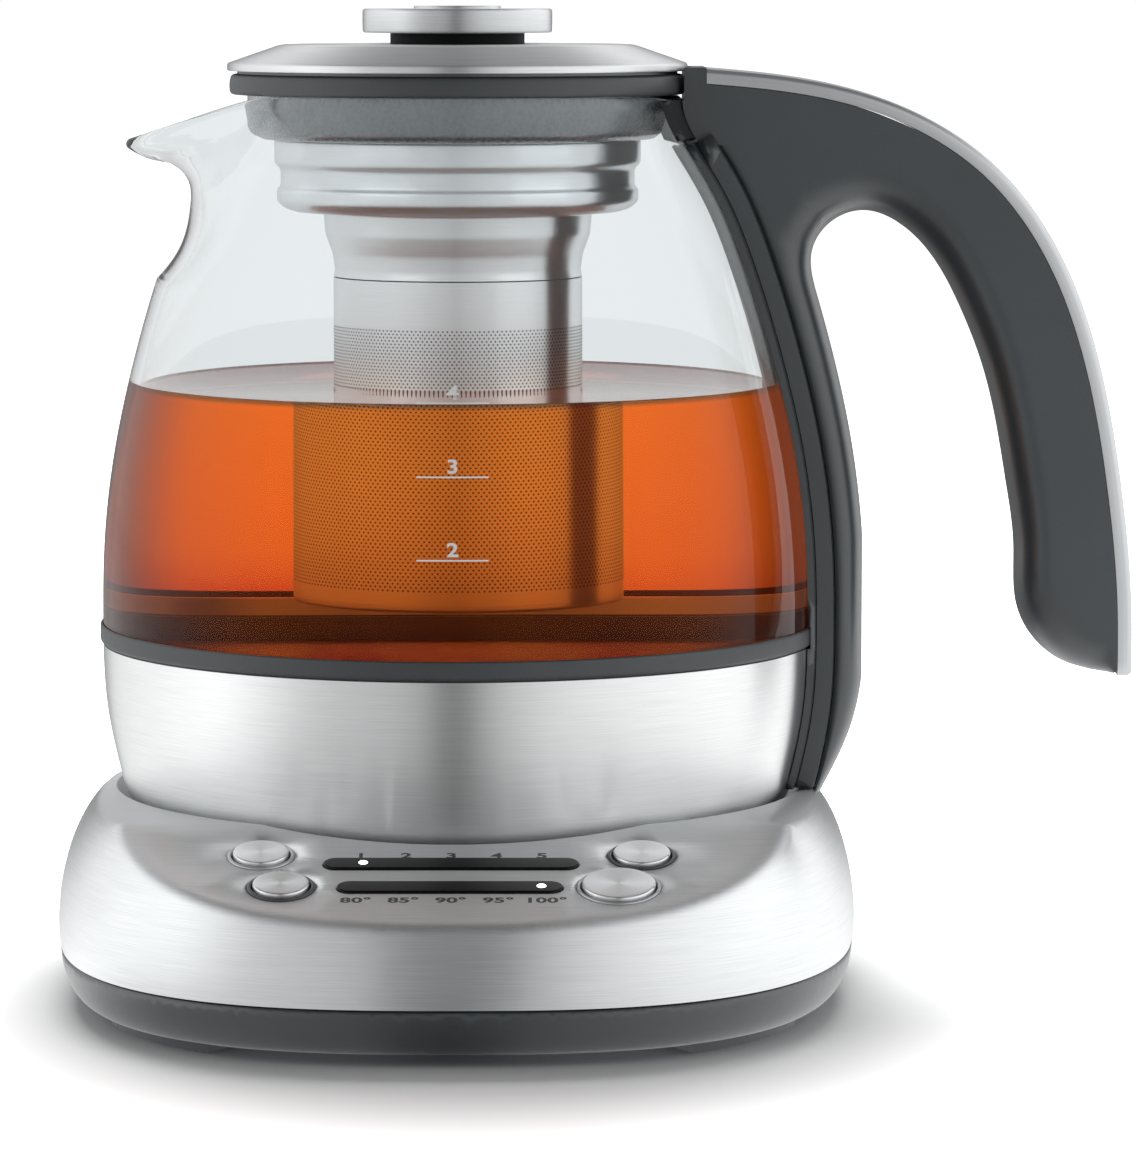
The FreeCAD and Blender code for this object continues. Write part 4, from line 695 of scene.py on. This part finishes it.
def glass_shell():
    """The blown wall with its drawn-out pouring lip, closed over a rounded rim."""
    lower = np.linspace(GLASS_BOTTOM_Z, NECK_LOW_Z, 40)[:-1]
    shares = np.linspace(0, 1, 44)
    steps = 240
    outer = []
    for k in range(steps):
        turn = 360.0 * k / steps
        from_spout = math.remainder(turn - 180.0, 360.0)
        run = np.array([side_at(z) for z in lower] + [glass_wall_at(from_spout, share) for share in shares])
        c, s = math.cos(math.radians(turn)), math.sin(math.radians(turn))
        outer.append(np.stack([run[:, 0] * c, run[:, 0] * s, run[:, 1]], 1))
    outer = np.array(outer)
    round_way = np.roll(outer, -1, 0) - np.roll(outer, 1, 0)
    up_way = np.gradient(outer, axis=1)
    normal = np.cross(round_way, up_way)
    normal /= np.linalg.norm(normal, axis=2)[:, :, None]
    inner = outer - normal * GLASS_WALL
    tip = up_way[:, -1] / np.linalg.norm(up_way[:, -1], axis=1)[:, None]
    middle, half = (outer[:, -1] + inner[:, -1]) / 2, (outer[:, -1] - inner[:, -1]) / 2
    rim_height = GLASS_WALL / 2 * 0.85
    rows = list(outer.transpose(1, 0, 2))
    for a in np.radians((30, 60, 90, 120, 150)):
        rows.append(middle + half * math.cos(a) + tip * math.sin(a) * rim_height)
    rows += list(inner.transpose(1, 0, 2)[::-1])
    bm = bmesh.new()
    grid = [[bm.verts.new(Vector(p) * MM) for p in row] for row in rows]
    for low, high in zip(grid, grid[1:] + grid[:1]):
        for k in range(steps):
            m = (k + 1) % steps
            bm.faces.new((low[k], low[m], high[m], high[k]))
    return finish_mesh("glass_wall", bm, 60)


dress(glass_shell(), "jug", "glass_clear", GLASS, "glass_jug")

# the tea reaches a little into the wall and the dish, so no air shows between them, and curls up at its edge
wall = side_run(GLASS_BOTTOM_Z + 0.2, TEA_Z + 0.9, 0.12 - GLASS_WALL, 60)
edge_r = wall[-1][0]
foot_z, step_z = HEATER_FLOOR_Z + 0.8, HEATER_FLOOR_Z + 5.0
liquid = [(0, foot_z), (65.6, foot_z), (69.3, step_z), (72.2, step_z)] + wall
liquid += [(edge_r - 0.25, TEA_Z + 0.45), (edge_r - 0.8, TEA_Z + 0.15), (edge_r - 2.0, TEA_Z), (0, TEA_Z)]
dress(turned("tea", liquid, sharp=50), "jug", "glass_clear", TEA)

plate_r = radius_at(BAND_TOP_Z, -BAND_SHEET) - JOINT_GAP
plate = [(0, HEATER_FLOOR_Z), (plate_r - 8.0, HEATER_FLOOR_Z), (plate_r - 4.2, BAND_TOP_Z - 1.2),
         (plate_r, BAND_TOP_Z - 1.2), (plate_r, BAND_TOP_Z), (plate_r - 4.9, BAND_TOP_Z),
         (plate_r - 8.6, HEATER_FLOOR_Z + 1.2), (0, HEATER_FLOOR_Z + 1.2)]
dress(turned("heater_dish", plate), "jug", "steel_basket", STEEL_DISH, "heater_plate")

for name, node, slot, material in (("kettle_underside", "jug_floor", "plastic_black", BLACK),
                                   ("bracket_strip", "handle_bracket", "plastic_slate", SLATE),
                                   ("strap_strip", "handle_strap", "plastic_slate", SLATE),
                                   ("neck_clip_block", "neck_clip", "plastic_black", BLACK)):
    dress(smooth_copy(name, node, 35), "jug", slot, material, node)

# ---------- handle
SPINE = smooth_curve([(RIM_RADIUS + out, GLASS_TOP_Z + up) for out, up in HANDLE_SPINE], 400)
SPINE_OUT = curve_normals(SPINE, -1)
UNDER_TRIM = SPINE - SPINE_OUT * TRIM_SEAT


def column_depth(z):
    """The column's depth from the kettle to the finger gap, less towards its foot."""
    rise = min(1.0, max(0.0, (z - COLUMN_FOOT_Z) / COLUMN_RISE))
    return COLUMN_FOOT_DEPTH + (COLUMN_DEPTH - COLUMN_FOOT_DEPTH) * math.sin(rise * math.pi / 2)


def gap_edge():
    """The finger gap's outline, from the column's foot over the top and down the grip, and its centre."""
    centre_z = GLASS_TOP_Z - GAP_DROP - GAP_RADIUS
    centre_x = radius_at(centre_z) + COLUMN_DEPTH + GAP_RADIUS + 1.1
    run = [tuple(side_at(z, column_depth(z))) for z in np.linspace(COLUMN_FOOT_Z, centre_z - 10, 9)]
    for turn in np.radians((165, 130, 90, 50)):
        run.append((centre_x + GAP_RADIUS * math.cos(turn), centre_z + GAP_RADIUS * math.sin(turn)))
    for share in np.linspace(0.52, 0.94, 6):
        i = int(share * (len(SPINE) - 1))
        run.append(tuple(SPINE[i] - SPINE_OUT[i] * GRIP_DEPTH))
    for back, up in ((13.2, 3.4), (7.2, 0.6), (0.0, 0.0)):
        run.append((GRIP_END_X - back, GRIP_END_Z + up))
    return smooth_curve(run, 600), (centre_x, centre_z)


def column_edges():
    """The moulding's edge towards the kettle, below and above the end of the strap."""
    run = side_run(COLUMN_FOOT_Z, CLIP_TOP_Z - 1.0, STRAP_OFFSET, 130)
    start = (float(np.interp(STRAP_END_Z, [p[1] for p in run], [p[0] for p in run])), STRAP_END_Z)
    above = [p for p in run if p[1] >= STRAP_END_Z and p[0] > NECK_BACK_X]
    neck = [(NECK_BACK_X, above[-1][1] + 0.4), (NECK_BACK_X, float(UNDER_TRIM[0][1]) - 0.6)]
    return [p for p in run if p[1] < STRAP_END_Z], [start] + above + neck


def bearings(points, centre):
    """Directions of points from a centre, in degrees."""
    return np.degrees(np.arctan2(points[:, 1] - centre[1], points[:, 0] - centre[0])) % 360


def handle_pairs():
    """Pairs of points on the handle's outer edge and at the finger gap, with how hollow the outer face is."""
    inner, centre = gap_edge()
    column_run, neck_run = column_edges()
    back_run = [(NECK_BACK_X, float(UNDER_TRIM[0][1]))]
    back_run += [tuple(p) for p in UNDER_TRIM if p[0] > RIM_RADIUS + 5.2] + [(GRIP_END_X, GRIP_END_Z)]
    column = inner[(inner[:, 0] < centre[0]) & (inner[:, 1] < centre[1])]
    arch = inner[(inner[:, 1] > centre[1] - 6) & (inner[:, 0] < centre[0] + 12)]
    arch = arch[np.argsort(bearings(arch, centre))]
    arch_bearings = bearings(arch, centre)
    far_run = [(p, 1.0) for p in np.array(column_run)] + [(p, 0.0) for p in np.array(neck_run)]
    far_run += [(p, 0.0) for p in resampled(back_run, 150)]
    pairs, lowest, arch_end = [], 180.0, 52.0
    for i, (far, hollow) in enumerate(far_run):
        if hollow and far[1] < centre[1]:
            near = np.array([np.interp(far[1], column[:, 1], column[:, 0]), far[1]])
        else:
            lowest = min(lowest, float(bearings(far[None], centre)[0]))
            if lowest < arch_end:
                break
            near = np.array([np.interp(lowest, arch_bearings, arch[:, k]) for k in (0, 1)])
        pairs.append((far, near, hollow))
    start = int(np.argmin(np.linalg.norm(inner - pairs[-1][1], axis=1)))
    rest = [far for far, _ in far_run[i:]]
    return pairs + [(far, near, 0.0) for far, near in zip(rest, resampled(inner[start:], len(rest) + 1)[1:])]


# how far across the flank each point of a row lies, closer together towards the finger gap
FLANK_SHARES = 1 - np.concatenate([np.linspace(1, 0.55, 8),
                                   0.55 * np.cos(np.linspace(0, math.pi / 2, 14))[1:]])


def handle_row(far, near, hollow):
    """A closed row round the handle: flat flanks, a round edge at the gap, a hollow face to the kettle."""
    length = float(np.linalg.norm(near - far))
    edge = max(1e-6, min(8.5, 0.85 * length))
    roundness = 2.3

    def sagged(y, share):
        return (far[0] - math.sqrt(far[0] ** 2 - y * y)) * share

    row = []
    for share in FLANK_SHARES:
        over = max(0.0, edge - length * (1 - share)) / edge
        draft = 1 - 0.03 * hollow * max(0.0, 1 - length * share / 0.8)
        y = HANDLE_HALF_WIDTH * (1 - over ** roundness) ** (1 / roundness) * draft
        x, z = far + (near - far) * share
        row.append((x - sagged(y, hollow * max(0.0, 1 - length * share / 7.0)), y, z))
    row += [(x, -y, z) for x, y, z in reversed(row[:-1])]
    for y in np.array((-0.66, -0.33, 0.0, 0.33, 0.66)) * row[0][1]:
        row.append((far[0] - sagged(y, hollow), y, far[1]))
    return row


def handle_stop():
    """The part of the same moulding above the strap's end, hollowed round the clip and the lid."""
    throat = side_run(STRAP_END_Z - 3.2, CLIP_TOP_Z - 0.3, BRACKET_OFFSET, 16)
    facing = [(radius_at(STRAP_END_Z - 0.8, BRACKET_OFFSET), STRAP_END_Z)]
    facing += [p for p in throat if STRAP_END_Z < p[1] < CLIP_TOP_Z - SEAT_GAP]
    top_z = GLASS_TOP_Z + HANDLE_SPINE[0][1]
    facing += [(NOTCH_RADIUS - 0.3, CLIP_TOP_Z), (NOTCH_RADIUS, CLIP_TOP_Z), (NOTCH_RADIUS, top_z)]
    away = [(NECK_BACK_X, top_z)] + column_edges()[1][::-1]
    rows = []
    for y in np.linspace(-HANDLE_HALF_WIDTH, HANDLE_HALF_WIDTH, 15):
        rows.append([(math.sqrt(x * x - y * y), y, z) for x, z in facing] + [(x, y, z) for x, z in away])
    return loft("handle_stop", rows)


def handle_trim():
    """The satin strip along the handle's back, slightly crowned with rounded shoulders."""
    half_width = 12.6
    shoulder = [(1.3, half_width), (0.6, 12.3), (0.2, 11.7), (0.05, 10.6), (0.0, 6.0)]
    section = [(TRIM_DEPTH, -half_width), (TRIM_DEPTH, half_width)] + shoulder + [(0.0, 0.0)]
    section += [(depth, -y) for depth, y in reversed(shoulder)]
    rows = []
    for i in [k for k in range(0, len(SPINE), 4) if SPINE[k][0] > RIM_RADIUS + 6.0] + [len(SPINE) - 1]:
        (x, z), (out_x, out_z) = SPINE[i], SPINE_OUT[i]
        rows.append([(x - out_x * depth, y, z - out_z * depth) for depth, y in section])
    rows.insert(0, [(TRIM_START_X, y, z + (x - TRIM_START_X) * 0.08) for x, y, z in rows[0]])
    last = rows[-1]
    seat_x = GRIP_END_X + JOINT_GAP
    rows.append([(x, y, GRIP_END_Z + 0.6) for x, y, _ in last])
    rows.append([(x - 0.2 * (x - seat_x), y * 0.985, GRIP_END_Z + SEAT_GAP) for x, y, _ in last])
    return loft("handle_back_strip", rows)


dress(handle_stop(), "jug", "plastic_slate", SLATE)
grip = loft("handle_grip", [handle_row(*pair) for pair in handle_pairs()])
dress(grip, "jug", "plastic_slate", SLATE, "handle_shell")
dress(handle_trim(), "jug", "trim_silver", SILVER, "handle_trim")

# ========== basket
flange_low = GLASS_TOP_Z + SEAT_GAP
flange = rounded([(COLLAR_BORE, flange_low), (COLLAR_RADIUS - 0.2, flange_low, 2.0),
                  (COLLAR_RADIUS, COLLAR_TOP_Z - 2.15, 2.2), (COLLAR_RADIUS - 0.4, COLLAR_TOP_Z, 2.0),
                  (COLLAR_BORE, COLLAR_TOP_Z)], 6)
dress(turned("collar_flange", flange), "basket", "rubber_slate", RUBBER, "basket_collar")
step_z = COLLAR_BOTTOM_Z + 1.6
plug = rounded([(COLLAR_BORE, step_z), (CUP_RADIUS - 1.0, step_z), (CUP_RADIUS - 1.0, COLLAR_BOTTOM_Z),
                (PLUG_RADIUS - 3.0, COLLAR_BOTTOM_Z, 0.8), (PLUG_RADIUS - 1.2, COLLAR_BOTTOM_Z + 1.4, 1.2),
                (PLUG_RADIUS, GLASS_TOP_Z - 3.0, 0.8), (PLUG_RADIUS, GLASS_TOP_Z),
                (COLLAR_BORE, GLASS_TOP_Z)])
dress(turned("collar_plug", plug), "basket", "silicone_grey", SILICONE)


def cup_profile():
    """The stepped cup and the flared neck under it, in one sheet."""
    cup_top = COLLAR_BOTTOM_Z - 0.1
    outside = []
    for inset, share in ((0.0, 0.0), (0.0, 0.32), (1.3, 0.40), (1.3, 0.63), (0.5, 0.68), (0.5, 0.85),
                         (2.2, 0.95), (4.5, 1.0)):
        outside.append((CUP_RADIUS - inset, cup_top - (cup_top - CUP_BOTTOM_Z) * share))
    for flare, share in ((1.2, 0.0), (1.0, 0.32), (0.1, 0.62), (-0.2, 0.86), (0.0, NECK_END)):
        outside.append((TUBE_RADIUS + 1.7 * flare, CUP_BOTTOM_Z - NECK_HEIGHT * share))
    inside = [(r - 0.9, z + 0.4) for r, z in outside]
    return rounded([(r, z, 0.7) for r, z in outside] + [(r, z, 0.5) for r, z in reversed(inside)], 3)


cup = turned("basket_cup_skin", cup_profile(), sharp=50)
dress(cup, "basket", "steel_basket", STEEL_BASKET, "basket_cup")
tube_low, tube_high = TUBE_BOTTOM_Z + 1.25, CUP_BOTTOM_Z - NECK_HEIGHT * NECK_END - SEAT_GAP
tube = [(TUBE_RADIUS, tube_low), (TUBE_RADIUS, tube_high),
        (TUBE_RADIUS - TUBE_SHEET, tube_high), (TUBE_RADIUS - TUBE_SHEET, tube_low)]
dress(turned("basket_tube_skin", tube), "basket", "steel_basket", STEEL_BASKET, "basket_tube")
floor_plate = disc(0, TUBE_RADIUS, TUBE_BOTTOM_Z, TUBE_BOTTOM_Z + 1.2, 0.9)
dress(turned("basket_floor_skin", floor_plate), "basket", "steel_basket", STEEL_BASKET, "basket_floor")


def perforation_tree():
    """Small flat dark discs in staggered rows round a tube: painted shade where its holes are."""
    tree = bpy.data.node_groups.new("perforated_tube", "GeometryNodeTree")

    def socket(name, kind, default=None, in_out="INPUT"):
        made = tree.interface.new_socket(name, in_out=in_out, socket_type="NodeSocket" + kind)
        if default is not None:
            made.default_value = default

    socket("Geometry", "Geometry")
    socket("Radius", "Float", 0.0262)
    socket("Low", "Float", 0.085)
    socket("Columns", "Int", 173)
    socket("Rows", "Int", 79)
    socket("Row Pitch", "Float", 0.00068)
    socket("Hole Radius", "Float", 0.0002)
    socket("Finish", "Material")
    socket("Geometry", "Geometry", in_out="OUTPUT")
    given = add(tree, "NodeGroupInput").outputs
    index = add(tree, "GeometryNodeInputIndex").outputs[0]
    columns = given["Columns"]
    row = calc(tree, "FLOOR", calc(tree, "DIVIDE", index, columns))
    # every other row is turned by half a hole's spacing
    shift = calc(tree, "MULTIPLY", calc(tree, "MODULO", row, 2.0), 0.5)
    place = calc(tree, "ADD", calc(tree, "MODULO", index, columns), shift)
    angle = calc(tree, "MULTIPLY", calc(tree, "DIVIDE", place, columns), 2 * math.pi)
    cosine, sine = calc(tree, "COSINE", angle), calc(tree, "SINE", angle)
    outwards = add(tree, "ShaderNodeCombineXYZ", {0: cosine, 1: sine}).outputs[0]
    position = add(tree, "ShaderNodeCombineXYZ", {
        0: calc(tree, "MULTIPLY", cosine, given["Radius"]),
        1: calc(tree, "MULTIPLY", sine, given["Radius"]),
        2: calc(tree, "MULTIPLY_ADD", row, given["Row Pitch"], given["Low"])}).outputs[0]
    count = calc(tree, "MULTIPLY", columns, given["Rows"])
    points = add(tree, "GeometryNodePoints", {"Count": count, "Position": position}).outputs[0]
    turn = add(tree, "FunctionNodeAlignRotationToVector", {"Vector": outwards}, axis="Z").outputs[0]
    hole = add(tree, "GeometryNodeMeshCircle", {"Radius": given["Hole Radius"], "Vertices": 6},
               fill_type="NGON")
    spread = add(tree, "GeometryNodeInstanceOnPoints",
                 {"Points": points, "Instance": hole.outputs[0], "Rotation": turn}).outputs[0]
    real = add(tree, "GeometryNodeRealizeInstances", {0: spread}).outputs[0]
    finish = add(tree, "GeometryNodeSetMaterial", {"Geometry": real, "Material": given["Finish"]})
    add(tree, "NodeGroupOutput", {0: finish.outputs[0]})
    return tree


def grown(name, tree, inputs):
    """Runs a tree on an empty mesh and keeps the result as a plain mesh."""
    carrier_name = name + "_carrier"
    carrier = add_object(carrier_name, bpy.data.meshes.new(carrier_name))
    modifier = carrier.modifiers.new("grow", "NODES")
    modifier.node_group = tree
    for item in tree.interface.items_tree:
        if item.item_type == "SOCKET" and item.in_out == "INPUT" and item.name in inputs:
            modifier[item.identifier] = inputs[item.name]
    return add_object(name, final_mesh(name, carrier))


holes = grown("basket_hole_shade", perforation_tree(), {"Radius": (TUBE_RADIUS + 0.03) * MM, "Finish": HOLE_SHADE})
dress(holes, "basket", "steel_basket", HOLE_SHADE)

# ========== lid
skirt_r, lid_sheet = 47.2, 1.1
cover = rounded([(SCREW_BORE, LID_TOP_Z), (SCREW_BORE, LID_TOP_Z - lid_sheet), (36.7, LID_TOP_Z - lid_sheet),
                 (skirt_r, LID_RIM_Z + 0.8), (skirt_r, LID_RIM_Z), (LID_RADIUS, LID_RIM_Z, 0.4),
                 (LID_RADIUS, LID_RIM_Z + 1.6, 0.5), (37.0, LID_TOP_Z, 1.2)])
dress(turned("lid_cover_skin", cover, sharp=25), "lid", "steel_brushed", STEEL_LID, "lid_cover")
plug_low, plug_rest = COLLAR_TOP_Z - 4.55, COLLAR_TOP_Z + SEAT_GAP
plug_rim, plug_top = plug_rest + 1.2, LID_TOP_Z - 1.2
inner_cover = [(SCREW_BORE, plug_low), (37.4, plug_low), (38.4, plug_low + 1.0), (38.4, plug_rest),
               (46.2, plug_rest), (46.2, plug_rim), (37.0, plug_rim), (37.0, plug_low + 1.4),
               (6.0, plug_low + 1.4), (6.0, plug_top), (SCREW_BORE, plug_top)]
dress(turned("lid_plug_skin", inner_cover), "lid", "steel_basket", STEEL_SHADED, "lid_plug")
neck = disc(SCREW_BORE, 14.1, LID_TOP_Z, KNOB_BOTTOM_Z)
dress(turned("knob_neck_skin", neck, 96), "lid", "plastic_black", NECK_BLACK, "knob_neck")
knob = disc(0, KNOB_RADIUS, KNOB_BOTTOM_Z, KNOB_TOP_Z, 0.6, 0.7)
dress(turned("lid_knob_skin", knob, 128), "lid", "steel_brushed", STEEL_LID, "lid_knob")
inlay = disc(0, 9.1, KNOB_TOP_Z, KNOB_TOP_Z + 0.6, 0.0, 0.4)
dress(turned("knob_inlay_skin", inlay, 96), "lid", "steel_brushed", STEEL_LID, "knob_inlay")


# ========== marks on the glass
def onto_glass(co):
    """Moves a point of a flat drawing back onto the front of the glass."""
    r = (radius_at(min(max(co.z / MM, GLASS_BOTTOM_Z), GLASS_TOP_Z)) + 0.03) * MM
    return Vector((co.x, -math.sqrt(max(0.0, r * r - co.x * co.x)), co.z))


def printed_bars(name, places, width, height):
    """Thin printed bars about each place, in columns so that they can bend round the glass."""
    bm = bmesh.new()
    columns = 12
    for place in places:
        xs = [(i / columns - 0.5) * width * MM for i in range(columns + 1)]
        pairs = [[bm.verts.new(place @ Vector((x, y * height * MM, 0))) for y in (-0.5, 0.5)] for x in xs]
        for left, right in zip(pairs, pairs[1:]):
            bm.faces.new((left[0], right[0], right[1], left[1]))
    for vertex in bm.verts:
        vertex.co = onto_glass(vertex.co)
    return add_object(name, mesh_from(name, bm))


def on_front(z):
    """The place of something drawn about the origin, upright in front of the kettle."""
    return Matrix.Translation(Vector((0.3, 0, z)) * MM) @ Matrix.Rotation(math.radians(90), 4, "X")


CUP_MARKS = {"4": 126.7, "3": 112.2, "2": 95.8}
for figure, line_z in CUP_MARKS.items():
    lettering("cup_mark_" + figure, figure, 2.7, on_front(line_z + 0.8), "jug", "glass_clear", WHITE_INK,
              1.25, 0.10, onto_glass)
cup_lines = printed_bars("cup_lines", [on_front(z) for z in CUP_MARKS.values()], 14.4, 0.34)
dress(cup_lines, "jug", "glass_clear", WHITE_INK)


# ========== stage
def seen_directly(tree):
    """1 for camera, glossy and transmission rays, 0 for the light that falls on matt surfaces."""
    path = light_path(tree)
    shown = either(tree, path["Is Camera Ray"], path["Is Glossy Ray"])
    return either(tree, shown, path["Is Transmission Ray"])


# brightness of the studio by its direction from the kettle: degrees from the front, negative to the left
WALL = ((-180, 0.95), (-160, 0.95), (-150, 0.72), (-137, 1.05), (-118, 1.2), (-92, 1.35), (-76, 1.5),
        (-64, 1.30), (-54, 1.08), (-45, 0.88), (-36, 0.78), (-18, 0.68), (-10, 0.58), (-4, 0.30), (0, 0.22),
        (4, 0.32), (9, 0.58), (16, 0.78), (30, 1.05), (46, 1.22), (64, 1.32), (92, 1.42), (118, 1.40),
        (137, 1.3), (150, 1.0), (160, 0.95), (180, 0.95))
WALL_PEAK = 1.5
# the same for what is seen through the glass alone
BEHIND = ((-180, 1.0), (-158, 1.0), (-148, 0.62), (-138, 0.34), (-128, 0.5), (-118, 1.0),
          (118, 1.0), (128, 0.5), (138, 0.34), (148, 0.62), (158, 1.0), (180, 1.0))
# and by its height above the horizon, in degrees
RISE = ((0, 1.0), (24, 1.0), (39, 1.0), (48, 0.45), (58, 0.10), (70, 0.16), (90, 0.30))


def studio_level():
    """The brightness of the studio at a place on its boards or its floor, as a group for both."""
    tree = bpy.data.node_groups.new("studio_level", "ShaderNodeTree")
    tree.interface.new_socket("Level", in_out="OUTPUT", socket_type="NodeSocketFloat")
    place = add(tree, "ShaderNodeNewGeometry").outputs["Position"]
    parts = add(tree, "ShaderNodeSeparateXYZ", {0: place}).outputs
    turn = calc(tree, "ARCTAN2", parts["X"], calc(tree, "MULTIPLY", parts["Y"], -1.0))
    share = remap(tree, turn, -math.pi, math.pi)
    round_way = ramp(tree, share, *[((angle + 180) / 360, level / WALL_PEAK) for angle, level in WALL])
    rise = calc(tree, "ARCTAN2", parts["Z"], from_axis(tree, parts))
    up_way = ramp(tree, remap(tree, rise, 0.0, math.pi / 2), *[(angle / 90, level) for angle, level in RISE])
    # low down at the back it is darker, which draws the upright steel's outline
    back = remap(tree, calc(tree, "ABSOLUTE", turn), 2.55, 2.85, to_high=0.7)
    dark = calc(tree, "MULTIPLY", back, remap(tree, rise, 0.2, 0.5, 1.0, 0.0))
    tall = calc(tree, "MULTIPLY", up_way, calc(tree, "SUBTRACT", 1.0, dark))
    mirrored = calc(tree, "MULTIPLY", calc(tree, "MULTIPLY", round_way, tall), WALL_PEAK)
    through = ramp(tree, share, *[((angle + 180) / 360, level) for angle, level in BEHIND])
    # painted light: rays that leave the kettle after a bounce inside it see the boards lifted most of the way
    # to plain white, which brightens what the basket mirrors
    inside = calc(tree, "MULTIPLY", light_path(tree)["Is Transmission Ray"], 0.7)
    painted_inside_lift = add(tree, "ShaderNodeMix", {"Factor": inside, "A": mirrored, "B": 1.0}).outputs["Result"]
    level = add(tree, "ShaderNodeMix", {"Factor": after_reflection(tree), "A": through, "B": painted_inside_lift})
    add(tree, "NodeGroupOutput", {0: level.outputs["Result"]})
    return tree


LEVEL = studio_level()
WHITE = (1, 1, 1, 1)
PAPER_WHITE = (0.92, 0.92, 0.92, 1)


def board_glow(tree, colour):
    """The studio's light at a place, in a colour."""
    level = add(tree, "ShaderNodeGroup", node_tree=LEVEL).outputs[0]
    return add(tree, "ShaderNodeEmission", {"Strength": level, "Color": colour}).outputs[0]


def floor_finish():
    """Matt white paper with a painted glow that rises away from the base: it keeps the shadow near by and
    farther out lights it away into white; metal sees it as the boards.
    """
    material, tree = blank_material("white_sweep")
    oval = add(tree, "ShaderNodeMapping", {"Vector": object_place(tree), "Scale": (1.8, 1.12, 1.0)})
    reach = add(tree, "ShaderNodeVectorMath", {0: oval.outputs[0]}, operation="LENGTH").outputs["Value"]
    # painted light: the glow grows over an oval, wider across than deep, and covers the real shadow there
    far = remap(tree, reach, 0.13, 0.26, interpolation_type="SMOOTHSTEP")
    strength = calc(tree, "MULTIPLY", far, seen_directly(tree))
    paper = add(tree, "ShaderNodeBsdfDiffuse", {"Color": PAPER_WHITE}).outputs[0]
    glow = add(tree, "ShaderNodeEmission", {"Strength": strength, "Color": WHITE}).outputs[0]
    shown = add(tree, "ShaderNodeAddShader", {0: paper, 1: glow}).outputs[0]
    path = light_path(tree)
    mirrored = either(tree, path["Is Glossy Ray"], path["Is Transmission Ray"])
    mix = add(tree, "ShaderNodeMixShader", {0: mirrored, 1: shown, 2: board_glow(tree, PAPER_WHITE)})
    add(tree, "ShaderNodeOutputMaterial", {"Surface": mix.outputs[0]})
    return material


def studio_floor():
    """The sheet of paper that the tea maker stands on."""
    half, z = 30, -0.0002
    mesh = bpy.data.meshes.new("floor")
    corners = [(-half, -half, z), (half, -half, z), (half, half, z), (-half, half, z)]
    mesh.from_pydata(corners, [], [(0, 1, 2, 3)])
    mesh.materials.append(floor_finish())
    add_object("floor", mesh)


def studio_world():
    """A white room to the camera, metal and glass, and a softer one to matt surfaces."""
    world = bpy.data.worlds.new("white_room")
    bpy.context.scene.world = world
    world.use_nodes = True
    tree = world.node_tree
    tree.nodes.clear()
    strength = remap(tree, seen_directly(tree), 0.0, 1.0, 0.22, 1.0)
    back = add(tree, "ShaderNodeBackground", {"Strength": strength, "Color": WHITE})
    add(tree, "ShaderNodeOutputWorld", {"Surface": back.outputs[0]})


def studio_wall():
    """Boards round the set that only metal and glass see: softboxes at the sides, grey round the camera."""
    material, tree = blank_material("studio_boards")
    add(tree, "ShaderNodeOutputMaterial", {"Surface": board_glow(tree, WHITE)})
    bm = bmesh.new()
    steps = 96
    angles = [2 * math.pi * k / steps for k in range(steps)]
    grid = []
    for radius, height in ((2.4, -0.05), (2.4, 0.4), (2.4, 0.9), (2.4, 1.5),
                           (2.0, 2.1), (1.2, 2.5), (0.4, 2.6), (0.01, 2.62)):
        grid.append([bm.verts.new((radius * math.cos(a), radius * math.sin(a), height)) for a in angles])
    for low, high in zip(grid, grid[1:]):
        for k in range(steps):
            m = (k + 1) % steps
            bm.faces.new((low[k], high[k], high[m], low[m]))
    mesh = mesh_from("studio_wall", bm)
    mesh.materials.append(material)
    wall = add_object("studio_wall", mesh)
    wall.visible_camera = wall.visible_diffuse = wall.visible_shadow = False


def softbox(name, place, width, height, power):
    """A large soft lamp turned to the tea maker's middle, which metal and glass don't mirror."""
    light = bpy.data.lights.new(name, "AREA")
    light.shape = "RECTANGLE"
    light.size, light.size_y = width, height
    light.energy = power
    lamp = add_object(name, light)
    lamp.location = place
    lamp.rotation_euler = (Vector((0.02, 0, 0.1)) - Vector(place)).to_track_quat("-Z", "Y").to_euler()
    lamp.visible_glossy = False


studio_floor()
studio_world()
studio_wall()
softbox("top_box", (0.0, 0.80, 1.25), 1.3, 1.0, 24)
softbox("left_box", (-0.9, -0.85, 0.70), 0.9, 0.9, 1.2)
softbox("right_box", (1.0, -0.65, 0.60), 0.9, 0.9, 1.2)

CAMERA_DIP = 6.237
camera_data = bpy.data.cameras.new("camera")
camera_data.lens = 168.09
camera_data.sensor_width = 36.0
camera = add_object("camera", camera_data)
camera.location = (0.0232, -1.150, 0.2087)
camera.rotation_euler = (math.radians(90 - CAMERA_DIP), 0, 0)
bpy.context.scene.camera = camera
bpy.context.scene.view_settings.view_transform = "Standard"
